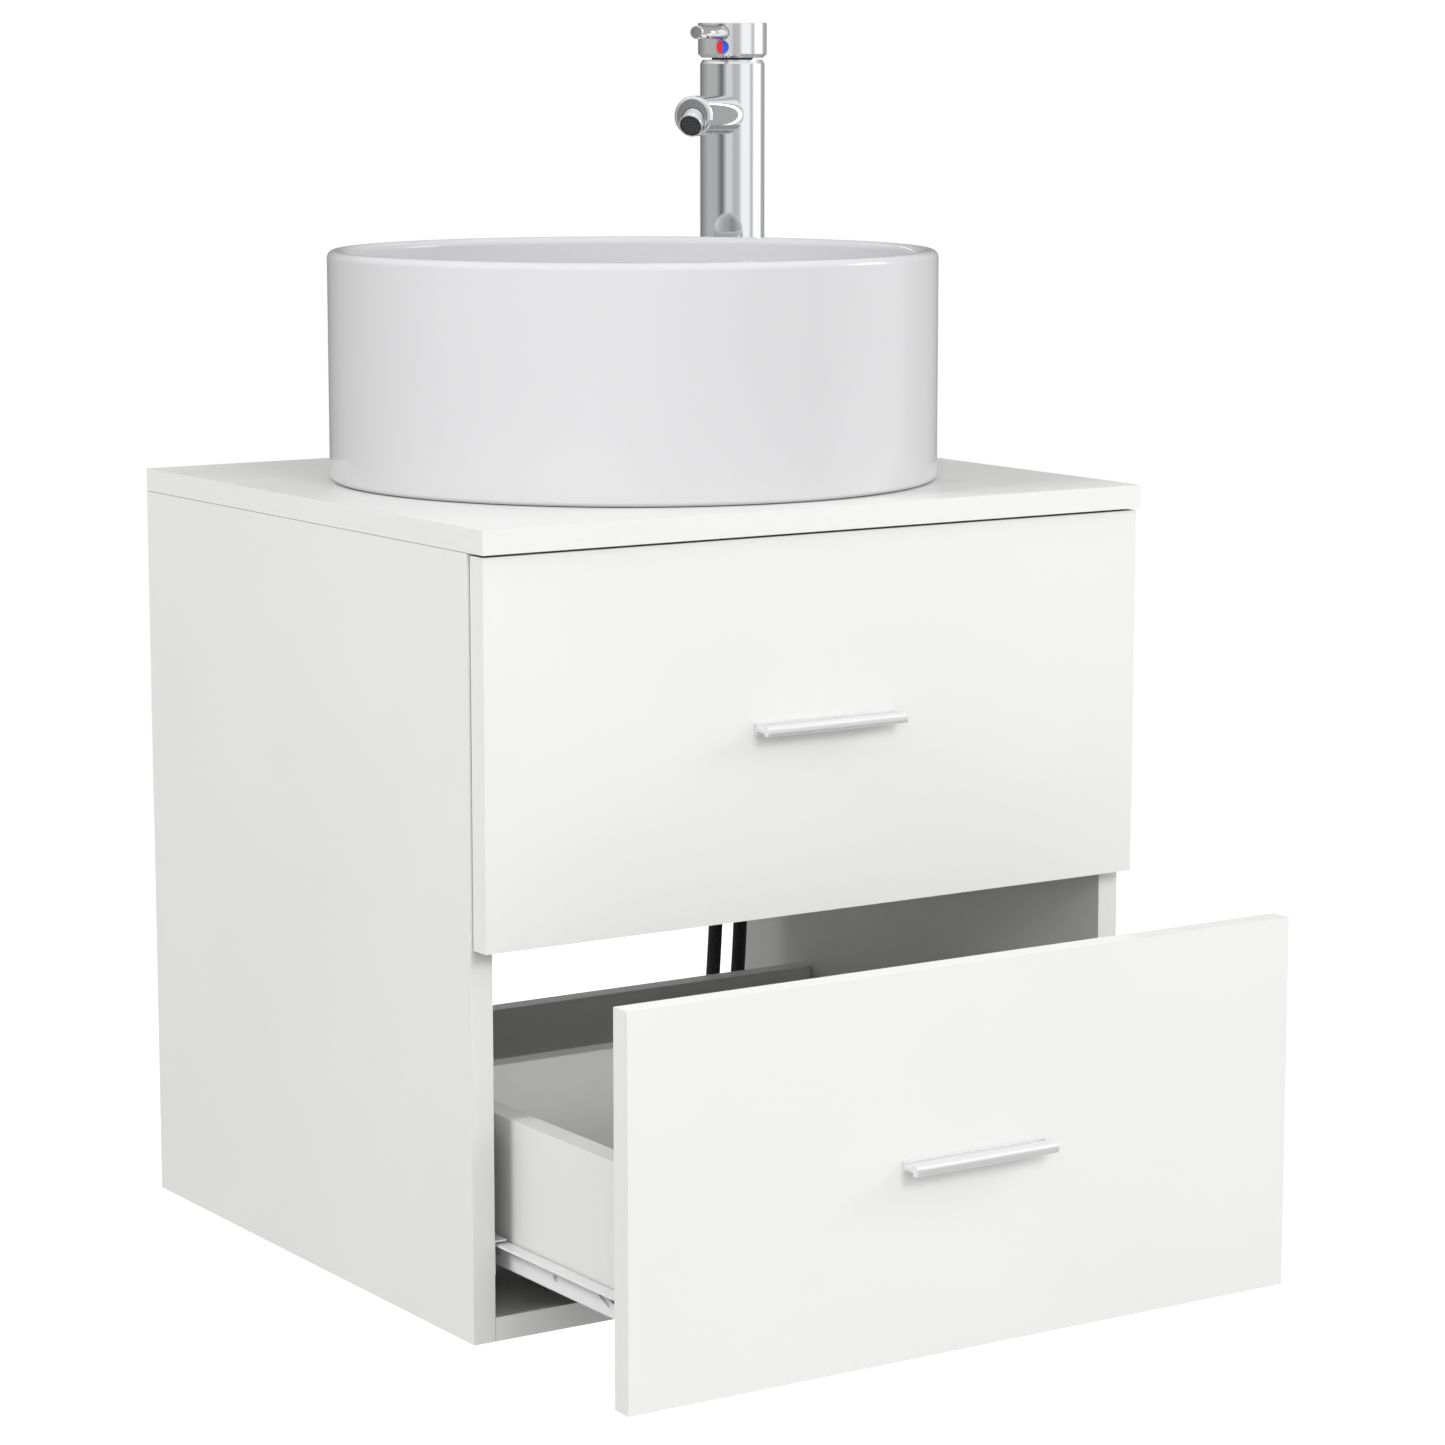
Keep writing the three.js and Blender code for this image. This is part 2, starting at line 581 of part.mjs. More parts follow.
/** Push-to-open waste: body with its guide cross, plug, gasket and backnut. */
function addWaste(vanity) {
  const waste = subgroup(vanity, [0, BASIN_Y, HEIGHT]);
  const seat = BASIN_FLOOR - 2.2;
  const THREAD_END = -BOARD - 38;
  const TAIL_END = -BOARD - 72;
  const BORE = 16;
  const GUIDE_RADIUS = 5;
  const GUIDE_HOLE = 2.6;
  const STEM = 2.2;
  const RIB = 3;
  const GASKET = 3;
  const GASKET_RADIUS = 30;
  const NUT_HEIGHT = 9;
  const NUT_ACROSS = 52;
  const tailIn = TAIL_RADIUS - 2;

  const shell = turned([
    [BORE, seat - 12],
    [tailIn, THREAD_END + 4],
    [tailIn, TAIL_END],
    [TAIL_RADIUS, TAIL_END],
    [TAIL_RADIUS, THREAD_END],
    [WASTE_RADIUS, THREAD_END],
    [WASTE_RADIUS, seat - 1.6],
    [WASTE_FLANGE_RADIUS, seat],
    [WASTE_FLANGE_RADIUS, seat + 1.4],
    [WASTE_FLANGE_RADIUS - 2, seat + 2.4],
    [24, seat + 0.6],
  ], 28);
  const rib = block([-BORE - 1, BORE + 1], [-RIB / 2, RIB / 2], [-8, -4]);
  const crossRib = rib.clone().rotateZ(Math.PI / 2);
  const guide = column(GUIDE_RADIUS, -14, -2, 0, 0, 16);
  const guideHole = column(GUIDE_HOLE, -15, 0, 0, 0, 12);
  const body = cut(join(shell, rib, crossRib, guide), guideHole);
  piece('waste_body', body, chrome, waste);

  const capLow = seat + 2.4 + GAP;
  const plug = join(
    turned([
      [0, capLow],
      [PLUG_RADIUS - 1.5, capLow],
      [PLUG_RADIUS, capLow + 1],
      [PLUG_RADIUS, capLow + 2.4],
      [PLUG_RADIUS - 6, capLow + 4.2],
      [0, capLow + 5.2],
    ], 28),
    column(STEM, -24, capLow + 1, 0, 0, 12),
  );
  piece('waste_plug', plug, chrome, waste);

  const gasketLow = -BOARD - GAP - GASKET;
  const gasket = prism(corner(GASKET_RADIUS, 0, 0, 0, 348, 29), gasketLow, -BOARD - GAP,
    [circlePath(WASTE_RADIUS + GAP)]);
  piece('waste_gasket', gasket, blackRubber, waste);

  const nutHigh = gasketLow - GAP;
  const nut = prism(hexagon(NUT_ACROSS), nutHigh - NUT_HEIGHT, nutHigh,
    [circlePath(WASTE_RADIUS + GAP)]);
  piece('waste_backnut', nut, brass, waste);
}

// --------------------------------------------------------------------- faucet

/** A cylinder along the spout direction (local X) between two places. */
function alongSpout(radius, from, to, z, segments = 32) {
  return axleX(radius, from, to, 0, z, segments);
}

/** Everything of the faucet that turns with the spout's direction. */
function addFaucet(vanity) {
  const faucet = subgroup(vanity, [FAUCET_X, FAUCET_Y, HEIGHT]);
  faucet.rotation.z = FAUCET_TURN;
  const SEAL = 1.5;
  const base = SEAL + GAP;
  const CARTRIDGE_RADIUS = 17.6;
  const CARTRIDGE_LOW = 246;
  const WALL = 3.4;
  const RECESS_RADIUS = 16.8;
  const RECESS_TOP = 11;
  const PORT_RADIUS = 3;
  const CHAMBER_LOW = 24;
  const CHAMBER_HIGH = 214;
  const RISER_RADIUS = 7;
  const STUD_DEPTH = 19;

  const seal = turned([
    [FAUCET_HOLE_RADIUS, GAP],
    [FAUCET_RADIUS - 0.6, GAP],
    [FAUCET_RADIUS - 0.6, SEAL],
    [FAUCET_HOLE_RADIUS, SEAL],
  ], 32);
  piece('faucet_base_seal', seal, blackRubber, faucet);

  const blank = turned([
    [0, base],
    [FAUCET_RADIUS - 0.5, base],
    [FAUCET_RADIUS, base + 0.5],
    [FAUCET_RADIUS, FAUCET_BODY_TOP - 2.8],
    [FAUCET_RADIUS - 1.6, FAUCET_BODY_TOP],
    [0, FAUCET_BODY_TOP],
  ], 36);
  const recess = column(RECESS_RADIUS, 0, RECESS_TOP, 0, 0, 24);
  const chamber = column(FAUCET_RADIUS - WALL, CHAMBER_LOW, CHAMBER_HIGH, 0, 0, 24);
  const riser = column(RISER_RADIUS, CHAMBER_HIGH - 1, CARTRIDGE_LOW, 0, 0, 12);
  const cartridgeBore = column(CARTRIDGE_RADIUS + GAP, CARTRIDGE_LOW - GAP, FAUCET_BODY_TOP + 1);
  const outlet = alongSpout(WATERWAY_RADIUS, 0, FAUCET_RADIUS + 2, WATERWAY_HEIGHT, 16);
  // The hose and stud ports sit in line with the cabinet, not with the spout.
  const ports = [
    column(PORT_RADIUS, RECESS_TOP - 2, CHAMBER_LOW + 2, -HOSE_OFFSET, 0, 12),
    column(PORT_RADIUS, RECESS_TOP - 2, CHAMBER_LOW + 2, HOSE_OFFSET, 0, 12),
    column(STUD_RADIUS + GAP, RECESS_TOP - 2, STUD_DEPTH, 0, STUD_OFFSET, 12),
  ].map((port) => port.rotateZ(-FAUCET_TURN));
  const body = cut(blank, recess, chamber, riser, cartridgeBore, outlet, ...ports);
  piece('faucet_body', body, chrome, faucet);

  addSpout(faucet);
  addCartridge(faucet, CARTRIDGE_LOW, CARTRIDGE_RADIUS);
  addHandleCap(faucet);
}

/** Horizontal spout with a saddle root, and the tilted aerator in its tip. */
function addSpout(faucet) {
  const SADDLE_REACH = 30;
  const pocketRadius = AERATOR_RADIUS + GAP;
  const roundTip = [
    [0, 0],
    [SPOUT_RADIUS, 0],
    ...corner(SPOUT_EDGE, SPOUT_RADIUS - SPOUT_EDGE, SPOUT_REACH - SPOUT_EDGE, 0, 90),
    [0, SPOUT_REACH],
  ];
  const tube = turned(roundTip, 28).rotateY(Math.PI / 2).translate(0, 0, SPOUT_HEIGHT);
  const saddle = column(FAUCET_RADIUS + GAP, SPOUT_HEIGHT - SADDLE_REACH,
    SPOUT_HEIGHT + SADDLE_REACH, 0, 0, 36);
  const waterway = alongSpout(WATERWAY_RADIUS, 0, SPOUT_REACH - 12, WATERWAY_HEIGHT, 16);
  const pocket = aeratorColumn(pocketRadius, -AERATOR_LENGTH - GAP, 12);
  piece('faucet_spout', cut(tube, saddle, waterway, pocket), chrome, faucet);

  const LIP = 0.9;
  const SEAT = 1.6; // ledge that the screen rests on
  const SCREEN_DEPTH = 9;
  const housing = cut(
    aeratorColumn(AERATOR_RADIUS, -AERATOR_LENGTH, 0),
    aeratorColumn(AERATOR_RADIUS - LIP, -SCREEN_DEPTH, 1),
    aeratorColumn(AERATOR_RADIUS - LIP - SEAT, -AERATOR_LENGTH - 1, 1),
  );
  piece('aerator_housing', housing, chrome, faucet);
  const screen = aeratorColumn(AERATOR_RADIUS - LIP - GAP, -SCREEN_DEPTH + GAP, -1);
  piece('aerator_screen', screen, greyPlastic, faucet);
}

/** A cylinder on the aerator's tilted axis, measured from its mouth. */
function aeratorColumn(radius, from, to) {
  const geometry = column(radius, from, to, 0, 0, 24);
  geometry.rotateY(Math.PI / 2 + AERATOR_TILT);
  return geometry.translate(AERATOR_MOUTH[0], 0, AERATOR_MOUTH[1]);
}

/** Cartridge fixed in the body, and the turning spindle that carries the lever. */
function addCartridge(faucet, low, radius) {
  const SHOULDER = FAUCET_BODY_TOP - 4;
  const cartridge = turned([
    [0, low],
    [radius, low],
    [radius, SHOULDER],
    [0, SHOULDER],
  ], 24);
  piece('cartridge', cartridge, whitePlastic, faucet);

  const DOME = 14.5;
  const NECK = 9;
  const spindle = turned([
    [0, SHOULDER + GAP],
    [DOME, SHOULDER + GAP],
    [DOME, CAP_BOTTOM + 4],
    [NECK, CAP_BOTTOM + 10],
    [0, CAP_BOTTOM + 11],
  ], 24);
  piece('cartridge_spindle', spindle, greyPlastic, faucet);
}

/**
 * Hollow cap that tilts about a line at its lower face, behind the axis. Its
 * lower face slopes away behind that line, so that it closes on the body.
 */
function addHandleCap(faucet) {
  const EDGE = 2.7;
  const TOP_EDGE = 0.6;
  const PIN_ROOT = CAP_RADIUS - 7.6; // the pin's inner end, from the axis
  const PIN_EDGE = 1;
  const MARK_RADIUS = 4.5;
  const MARK_HEIGHT = 280.1;
  const MARK_BACK = CAP_RADIUS - 1.3;
  const outside = CAP_RADIUS + 4;
  const height = CAP_TOP - CAP_BOTTOM;
  const blank = turned([
    [0, CAP_BOTTOM],
    [CAP_RADIUS - EDGE, CAP_BOTTOM],
    [CAP_RADIUS, CAP_BOTTOM + EDGE],
    [CAP_RADIUS, CAP_TOP - TOP_EDGE],
    [CAP_RADIUS - TOP_EDGE, CAP_TOP],
    [0, CAP_TOP],
  ], 36);
  const cavity = turned([
    [0, CAP_BOTTOM - 1],
    [CAP_CAVITY_RADIUS, CAP_BOTTOM - 1],
    [CAP_CAVITY_RADIUS, CAP_CAVITY_TOP],
    [0, CAP_CAVITY_TOP],
  ], 24);
  const relief = block([-2 * CAP_RADIUS, 0], [-2 * CAP_RADIUS, 2 * CAP_RADIUS], [-height, 0]);
  relief.rotateY(TILT_LIMIT + 0.02);
  relief.translate(TILT_PIVOT, 0, CAP_BOTTOM);
  const pinHole = alongSpout(LEVER_RADIUS + GAP, PIN_ROOT - 0.4, outside, LEVER_HEIGHT, 24);
  const markPocket = alongSpout(MARK_RADIUS + GAP, MARK_BACK - GAP, outside, MARK_HEIGHT, 24);
  piece('handle_cap', cut(blank, cavity, relief, pinHole, markPocket), chrome, faucet);

  const pinLength = LEVER_REACH - PIN_ROOT;
  const pin = turned([
    [0, 0],
    [LEVER_RADIUS, 0],
    ...corner(PIN_EDGE, LEVER_RADIUS - PIN_EDGE, pinLength - PIN_EDGE, 0, 90, 3),
    [0, pinLength],
  ], 20);
  pin.rotateY(Math.PI / 2);
  piece('lever_pin', pin, chrome, faucet, [PIN_ROOT, 0, LEVER_HEIGHT]);

  const markBlank = alongSpout(MARK_RADIUS, MARK_BACK, outside, MARK_HEIGHT, 24);
  const markFace = column(CAP_RADIUS + 0.3, CAP_BOTTOM, CAP_TOP, 0, 0, 96);
  piece('temperature_mark', keepInside(markBlank, markFace), markerPlastic, faucet);
}

/** Stud, horseshoe washer and nut that hold the faucet from under the countertop. */
function addFaucetFixing(vanity) {
  const fixing = subgroup(vanity, [FAUCET_X, FAUCET_Y, HEIGHT]);
  const WASHER = 3;
  const WASHER_RADIUS = 22;
  const STUD_BELOW = 30;
  const STUD_TOP = 18.6;
  const NUT_ACROSS = 13;
  const NUT_HEIGHT = 6.5;
  const washerHigh = -BOARD - GAP;
  const stud = column(STUD_RADIUS, washerHigh - STUD_BELOW, STUD_TOP, 0, STUD_OFFSET, 16);
  piece('fixing_stud', stud, zincSteel, fixing);

  const disc = column(WASHER_RADIUS, washerHigh - WASHER, washerHigh, 0, 0, 28);
  const hoseSlot = block([-13, 13], [-5.8, 30], [washerHigh - 5, washerHigh + 1]);
  const studHole = column(STUD_RADIUS + GAP, washerHigh - 5, washerHigh + 1, 0, STUD_OFFSET, 16);
  piece('horseshoe_washer', cut(disc, hoseSlot, studHole), zincSteel, fixing);

  const nutHigh = washerHigh - WASHER - GAP;
  const nutOutline = hexagon(NUT_ACROSS).map(([x, y]) => [x, y + STUD_OFFSET]);
  const nut = prism(nutOutline, nutHigh - NUT_HEIGHT, nutHigh,
    [circlePath(STUD_RADIUS + GAP, 0, STUD_OFFSET)]);
  piece('fixing_nut', nut, brass, fixing);
}

// --------------------------------------------------------------- supply hoses

/** Each route starts in the faucet's base and hangs behind the rear board. */
const HOSE_ROUTES = {
  left: [
    [184.5, -53, 508.3],
    [184.5, -53, 490],
    [184.4, -53, 465],
    [183.9, -53, 430],
    [183.0, -53, 390],
    [181.9, -53, 345],
    [180.7, -53, 300],
    [179.5, -53, 255],
    [178.2, -53, 205],
    [176.7, -53, 149],
    [175.5, -53, 128],
    [174.3, -53, 110],
    [172.6, -53, 86],
    [171.0, -53, 66],
  ],
  right: [
    [197.5, -53, 508.3],
    [197.5, -53, 490],
    [197.6, -53, 465],
    [197.9, -53, 430],
    [198.4, -53, 390],
    [198.9, -53, 345],
    [199.3, -53, 300],
    [199.3, -53, 255],
    [198.9, -53, 205],
    [198.1, -53, 149],
    [197.1, -53, 128],
    [195.9, -53, 110],
    [194.2, -53, 86],
    [192.6, -53, 66],
  ],
};

function addHose(vanity, name) {
  const route = new THREE.CatmullRomCurve3(
    HOSE_ROUTES[name].map((point) => new THREE.Vector3(...point)),
  );
  const section = new THREE.Shape(
    corner(HOSE_RADIUS, 0, 0, 0, 315, 7).map(([x, y]) => new THREE.Vector2(x, y)),
  );
  const tube = new THREE.ExtrudeGeometry(section, {
    steps: 20,
    extrudePath: route,
    bevelEnabled: false,
  });
  piece(`supply_hose_${name}`, toGeometry(toSolid(tube)), blackRubber, vanity);

  const NUT_LENGTH = 20;
  const NUT_ACROSS = 19;
  const THREAD_RADIUS = 7.6;
  const THREAD_DEPTH = 12;
  const BORE_RADIUS = 4;
  const end = route.getPoint(1);
  const heading = route.getTangent(1);
  const holder = subgroup(vanity, [end.x, end.y, end.z]);
  holder.quaternion.setFromUnitVectors(new THREE.Vector3(0, 0, -1), heading);
  const nut = cut(
    prism(hexagon(NUT_ACROSS), -NUT_LENGTH - GAP, -GAP),
    column(THREAD_RADIUS, -NUT_LENGTH - 2, THREAD_DEPTH - NUT_LENGTH, 0, 0, 24),
    column(BORE_RADIUS, -THREAD_DEPTH, 1, 0, 0, 16),
  );
  piece(`hose_nut_${name}`, nut, zincSteel, holder);
}

// ------------------------------------------------------------------- assembly

const model = new THREE.Group();
const vanity = subgroup(model, [0, 0, -RAIL_CENTRE]);
addCarcass(vanity);
addHangingBrackets(vanity);
for (const [level, frontZ] of [['lower', LOWER_FRONT_Z], ['upper', UPPER_FRONT_Z]]) {
  addRunner(vanity, level, 'left', -1, frontZ);
  addRunner(vanity, level, 'right', 1, frontZ);
}
addLowerDrawer(vanity);
addUpperDrawer(vanity);
addBasin(vanity);
addWaste(vanity);
addFaucet(vanity);
addFaucetFixing(vanity);
addHose(vanity, 'left');
addHose(vanity, 'right');

export default model;
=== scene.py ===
"""Looks of a wall-hung vanity: cabinet with two drawers, round vessel basin, tall mixer and hoses.

Metres, +Z up, the front faces -Y. The origin is the centre of the hanging rail's back face.
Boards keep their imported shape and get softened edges. Round and folded pieces are rebuilt smooth.
"""
import math

import bmesh
import bpy
from mathutils import Matrix, Vector


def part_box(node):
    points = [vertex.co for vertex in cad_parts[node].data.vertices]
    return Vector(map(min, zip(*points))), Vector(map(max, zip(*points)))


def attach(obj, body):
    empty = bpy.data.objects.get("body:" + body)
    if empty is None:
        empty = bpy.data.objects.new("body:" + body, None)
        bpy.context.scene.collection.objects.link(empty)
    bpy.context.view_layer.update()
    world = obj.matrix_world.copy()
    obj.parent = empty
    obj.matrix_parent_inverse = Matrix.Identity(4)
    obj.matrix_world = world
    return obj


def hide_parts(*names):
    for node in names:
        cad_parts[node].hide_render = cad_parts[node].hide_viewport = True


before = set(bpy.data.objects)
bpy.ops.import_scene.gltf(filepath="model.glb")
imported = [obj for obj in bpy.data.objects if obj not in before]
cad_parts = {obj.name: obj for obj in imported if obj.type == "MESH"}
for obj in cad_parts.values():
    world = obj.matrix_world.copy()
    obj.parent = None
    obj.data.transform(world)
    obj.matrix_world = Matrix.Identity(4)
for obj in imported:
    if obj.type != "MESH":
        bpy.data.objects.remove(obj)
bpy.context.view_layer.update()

MM = 0.001
SIDES = (("left", -1), ("right", 1))
LEVELS = ("lower", "upper")


# ------------------------------------------------------------------ camera and cords

def add_camera():
    """Standing in front on the left, looking down at the open drawer."""
    data = bpy.data.cameras.new("camera")
    data.sensor_width = 36
    data.lens = 105.1
    data.clip_end = 60
    camera = bpy.data.objects.new("camera", data)
    camera.location = (-1.4661, -2.5799, 0.3272)
    look_down = 8.94
    turned_right = 33.124
    camera.rotation_euler = (math.radians(90 - look_down), 0, math.radians(-turned_right))
    bpy.context.scene.collection.objects.link(camera)
    bpy.context.scene.camera = camera


HOSE_DIAMETER = 10.3 * MM
HOSE_Y = -0.053
# Each route starts in the mixer's base and hangs behind the rear board: (x, z).
HOSE_ROUTES = {
    "left": [
        (0.1845, 0.0656), (0.1845, 0.0473), (0.1844, 0.0223), (0.1839, -0.0127),
        (0.1830, -0.0527), (0.1819, -0.0977), (0.1807, -0.1427), (0.1795, -0.1877),
        (0.1782, -0.2377), (0.1767, -0.2937), (0.1755, -0.3147), (0.1743, -0.3327),
        (0.1726, -0.3567), (0.1710, -0.3767),
    ],
    "right": [
        (0.1975, 0.0656), (0.1975, 0.0473), (0.1976, 0.0223), (0.1979, -0.0127),
        (0.1984, -0.0527), (0.1989, -0.0977), (0.1993, -0.1427), (0.1993, -0.1877),
        (0.1989, -0.2377), (0.1981, -0.2937), (0.1971, -0.3147), (0.1959, -0.3327),
        (0.1942, -0.3567), (0.1926, -0.3767),
    ],
}


def hose_points(side):
    return [Vector((x, HOSE_Y, z)) for x, z in HOSE_ROUTES[side]]


def add_hose(side, finish, nut, ferrule):
    """Braided hose as one curve; the nut and ferrule passed in are not used."""
    points = hose_points(side)
    curve = bpy.data.curves.new(f"supply_hose_{side}_braid", "CURVE")
    curve.dimensions = "3D"
    curve.bevel_depth = HOSE_DIAMETER / 2
    curve.bevel_resolution = 6
    curve.resolution_u = 8
    curve.use_fill_caps = True
    spline = curve.splines.new("BEZIER")
    spline.bezier_points.add(len(points) - 1)
    for knot, point in zip(spline.bezier_points, points):
        knot.co = point
        knot.handle_left_type = knot.handle_right_type = "AUTO"
    curve.materials.append(finish)
    hose = bpy.data.objects.new(curve.name, curve)
    bpy.context.scene.collection.objects.link(hose)
    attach(hose, "cabinet")
    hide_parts(f"supply_hose_{side}")


# ------------------------------------------------------------------------ mesh tools

def arc(radius, x, y, start, end, steps=6):
    """Points of an arc about (x, y), between two angles in degrees."""
    angles = [math.radians(start + (end - start) * i / steps) for i in range(steps + 1)]
    return [(x + radius * math.cos(a), y + radius * math.sin(a)) for a in angles]


def turned(outline, segments=96):
    """Closed solid of revolution about Z. The outline goes from the axis back to the axis, or is a loop."""
    bm = bmesh.new()
    rings = []
    for radius, height in outline:
        if radius < 1e-7:
            rings.append([bm.verts.new((0, 0, height))])
            continue
        angles = [math.tau * i / segments for i in range(segments)]
        rings.append([bm.verts.new((radius * math.cos(a), radius * math.sin(a), height)) for a in angles])
    pairs = list(zip(rings, rings[1:]))
    if outline[0][0] > 1e-7:
        pairs.append((rings[-1], rings[0]))
    for low, high in pairs:
        for i in range(segments):
            j = (i + 1) % segments
            ring = [low[i % len(low)], low[j % len(low)], high[j % len(high)], high[i % len(high)]]
            corners = list(dict.fromkeys(ring))
            if len(corners) > 2:
                bm.faces.new(corners)
    return bm


def cylinder(radius, low, high, segments=96):
    """Upright cylinder between two heights."""
    return turned([(0, low), (radius, low), (radius, high), (0, high)], segments)


def prism(outline, low, high):
    """Upright prism of an (x, y) outline."""
    bm = bmesh.new()
    bottom = [bm.verts.new((x, y, low)) for x, y in outline]
    top = [bm.verts.new((x, y, high)) for x, y in outline]
    bm.faces.new(bottom[::-1])
    bm.faces.new(top)
    count = len(outline)
    for i in range(count):
        j = (i + 1) % count
        bm.faces.new((bottom[i], bottom[j], top[j], top[i]))
    return bm


def block(low, high):
    """Box between two corners."""
    bm = bmesh.new()
    bmesh.ops.create_cube(bm, size=1)
    size = [abs(b - a) for a, b in zip(low, high)]
    centre = [(a + b) / 2 for a, b in zip(low, high)]
    bm.transform(Matrix.Translation(centre) @ Matrix.Diagonal((*size, 1)))
    return bm


def moved(bm, matrix):
    bm.transform(matrix)
    if matrix.determinant() < 0:
        bmesh.ops.reverse_faces(bm, faces=bm.faces)
    return bm


def at(x, y, z):
    return Matrix.Translation((x, y, z))


def along_x(side=1):
    """Turns a Z-axis solid to lie along +X, or along -X."""
    return Matrix.Rotation(side * math.pi / 2, 4, "Y")


# A prism's outline laid in Y and Z with its length along X, and in X and Z with its length along Y.
LENGTH_ON_X = Matrix(((0, 0, 1, 0), (1, 0, 0, 0), (0, 1, 0, 0), (0, 0, 0, 1)))
LENGTH_ON_Y = Matrix(((1, 0, 0, 0), (0, 0, 1, 0), (0, 1, 0, 0), (0, 0, 0, 1)))


def soften(bm, width, segments=2, angle=40):
    """Rounds the edges that are sharper than an angle in degrees."""
    limit = math.radians(angle)
    sharp = [e for e in bm.edges if len(e.link_faces) == 2 and e.calc_face_angle() > limit]
    bmesh.ops.bevel(bm, geom=sharp, offset=width, segments=segments, affect="EDGES", profile=0.5)
    return bm


def to_object(name, bm):
    bmesh.ops.recalc_face_normals(bm, faces=bm.faces)
    mesh = bpy.data.meshes.new(name)
    bm.to_mesh(mesh)
    bm.free()
    thing = bpy.data.objects.new(name, mesh)
    bpy.context.scene.collection.objects.link(thing)
    return thing


def carved(bm, *tools, operation="DIFFERENCE"):
    """Cuts closed solids out of another, or keeps what they share."""
    base = to_object("carving", bm)
    cutters = [to_object("cutter", tool) for tool in tools]
    for cutter in cutters:
        step = base.modifiers.new("carve", "BOOLEAN")
        step.operation = operation
        step.solver = "EXACT"
        step.object = cutter
    graph = bpy.context.evaluated_depsgraph_get()
    result = bmesh.new()
    result.from_object(base, graph)
    for thing in [base, *cutters]:
        mesh = thing.data
        bpy.data.objects.remove(thing)
        bpy.data.meshes.remove(mesh)
    return result


def merged(*solids):
    """Several closed shells in one mesh."""
    whole = bmesh.new()
    for solid in solids:
        mesh = bpy.data.meshes.new("part")
        solid.to_mesh(mesh)
        solid.free()
        whole.from_mesh(mesh)
        bpy.data.meshes.remove(mesh)
    return whole


def piece(name, bm, finish, body, stands_for=(), sharp=32):
    """A finished piece on a body, smooth apart from edges sharper than an angle in degrees."""
    thing = to_object(name, bm)
    thing.data.materials.append(finish)
    thing.data.shade_smooth()
    thing.data.set_sharp_from_angle(angle=math.radians(sharp))
    even_out = thing.modifiers.new("flat_faces_lead", "WEIGHTED_NORMAL")
    even_out.keep_sharp = True
    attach(thing, body)
    if stands_for:
        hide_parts(*stands_for)
    return thing


# -------------------------------------------------------------------- shader groups

def group_shell(name, inputs, outputs):
    """Empty node group with float inputs (name, default) and outputs (name, kind)."""
    group = bpy.data.node_groups.new(name, "ShaderNodeTree")
    for label, default in inputs:
        socket = group.interface.new_socket(label, in_out="INPUT", socket_type="NodeSocketFloat")
        socket.default_value = default
    for label in outputs:
        group.interface.new_socket(label, in_out="OUTPUT", socket_type="NodeSocketFloat")
    return group, group.nodes.new("NodeGroupInput"), group.nodes.new("NodeGroupOutput")


def noise(group, scale, detail=2.0, roughness=0.5, stretch=None):
    """Noise over object coordinates, optionally stretched along the axes."""
    nodes = group.nodes
    place = nodes.new("ShaderNodeTexCoord")
    texture = nodes.new("ShaderNodeTexNoise")
    texture.inputs["Detail"].default_value = detail
    texture.inputs["Roughness"].default_value = roughness
    source = place.outputs["Object"]
    if stretch:
        mapping = nodes.new("ShaderNodeMapping")
        mapping.inputs["Scale"].default_value = stretch
        group.links.new(source, mapping.inputs["Vector"])
        source = mapping.outputs["Vector"]
    group.links.new(source, texture.inputs["Vector"])
    if isinstance(scale, (int, float)):
        texture.inputs["Scale"].default_value = scale
    else:
        group.links.new(scale, texture.inputs["Scale"])
    return texture.outputs["Fac"]


def remap(group, value, low, high, to_low=0.0, to_high=1.0):
    node = group.nodes.new("ShaderNodeMapRange")
    for label, number in (("From Min", low), ("From Max", high), ("To Min", to_low), ("To Max", to_high)):
        node.inputs[label].default_value = number
    group.links.new(value, node.inputs["Value"])
    return node.outputs["Result"]


def arithmetic(group, operation, first, second):
    node = group.nodes.new("ShaderNodeMath")
    node.operation = operation
    for socket, value in zip(node.inputs, (first, second)):
        if isinstance(value, (int, float)):
            socket.default_value = value
        else:
            group.links.new(value, socket)
    return node.outputs["Value"]


def mix_colors(tree, factor, first, second):
    """Blends two colours, each an RGB tuple or a socket."""
    mix = tree.nodes.new("ShaderNodeMix")
    mix.data_type = "RGBA"
    tree.links.new(factor, mix.inputs["Factor"])
    for label, color in (("A", first), ("B", second)):
        if isinstance(color, tuple):
            mix.inputs[label].default_value = (*color, 1)
        else:
            tree.links.new(color, mix.inputs[label])
    return mix.outputs["Result"]


def make_surface_group():
    """Fine relief, slow tone drift and faint handling marks of an even finish."""
    group, given, out = group_shell(
        "even_surface",
        [("Relief Scale", 900.0), ("Tone Scale", 6.0), ("Mark Scale", 25.0)],
        ["Height", "Tone", "Marks"],
    )
    relief = noise(group, given.outputs["Relief Scale"], 3.0, 0.6)
    tone = remap(group, noise(group, given.outputs["Tone Scale"], 1.0), 0.35, 0.65)
    marks = remap(group, noise(group, given.outputs["Mark Scale"], 4.0, 0.65), 0.45, 0.75)
    group.links.new(relief, out.inputs["Height"])
    group.links.new(tone, out.inputs["Tone"])
    group.links.new(marks, out.inputs["Marks"])
    return group


def make_brushed_group(name, stretch):
    """Drawn or brushed lines; the stretch sets the direction they run in."""
    group, given, out = group_shell(name, [("Line Scale", 40.0)], ["Height", "Lines"])
    lines = noise(group, given.outputs["Line Scale"], 4.0, 0.7, stretch)
    group.links.new(lines, out.inputs["Height"])
    group.links.new(remap(group, lines, 0.35, 0.7), out.inputs["Lines"])
    return group


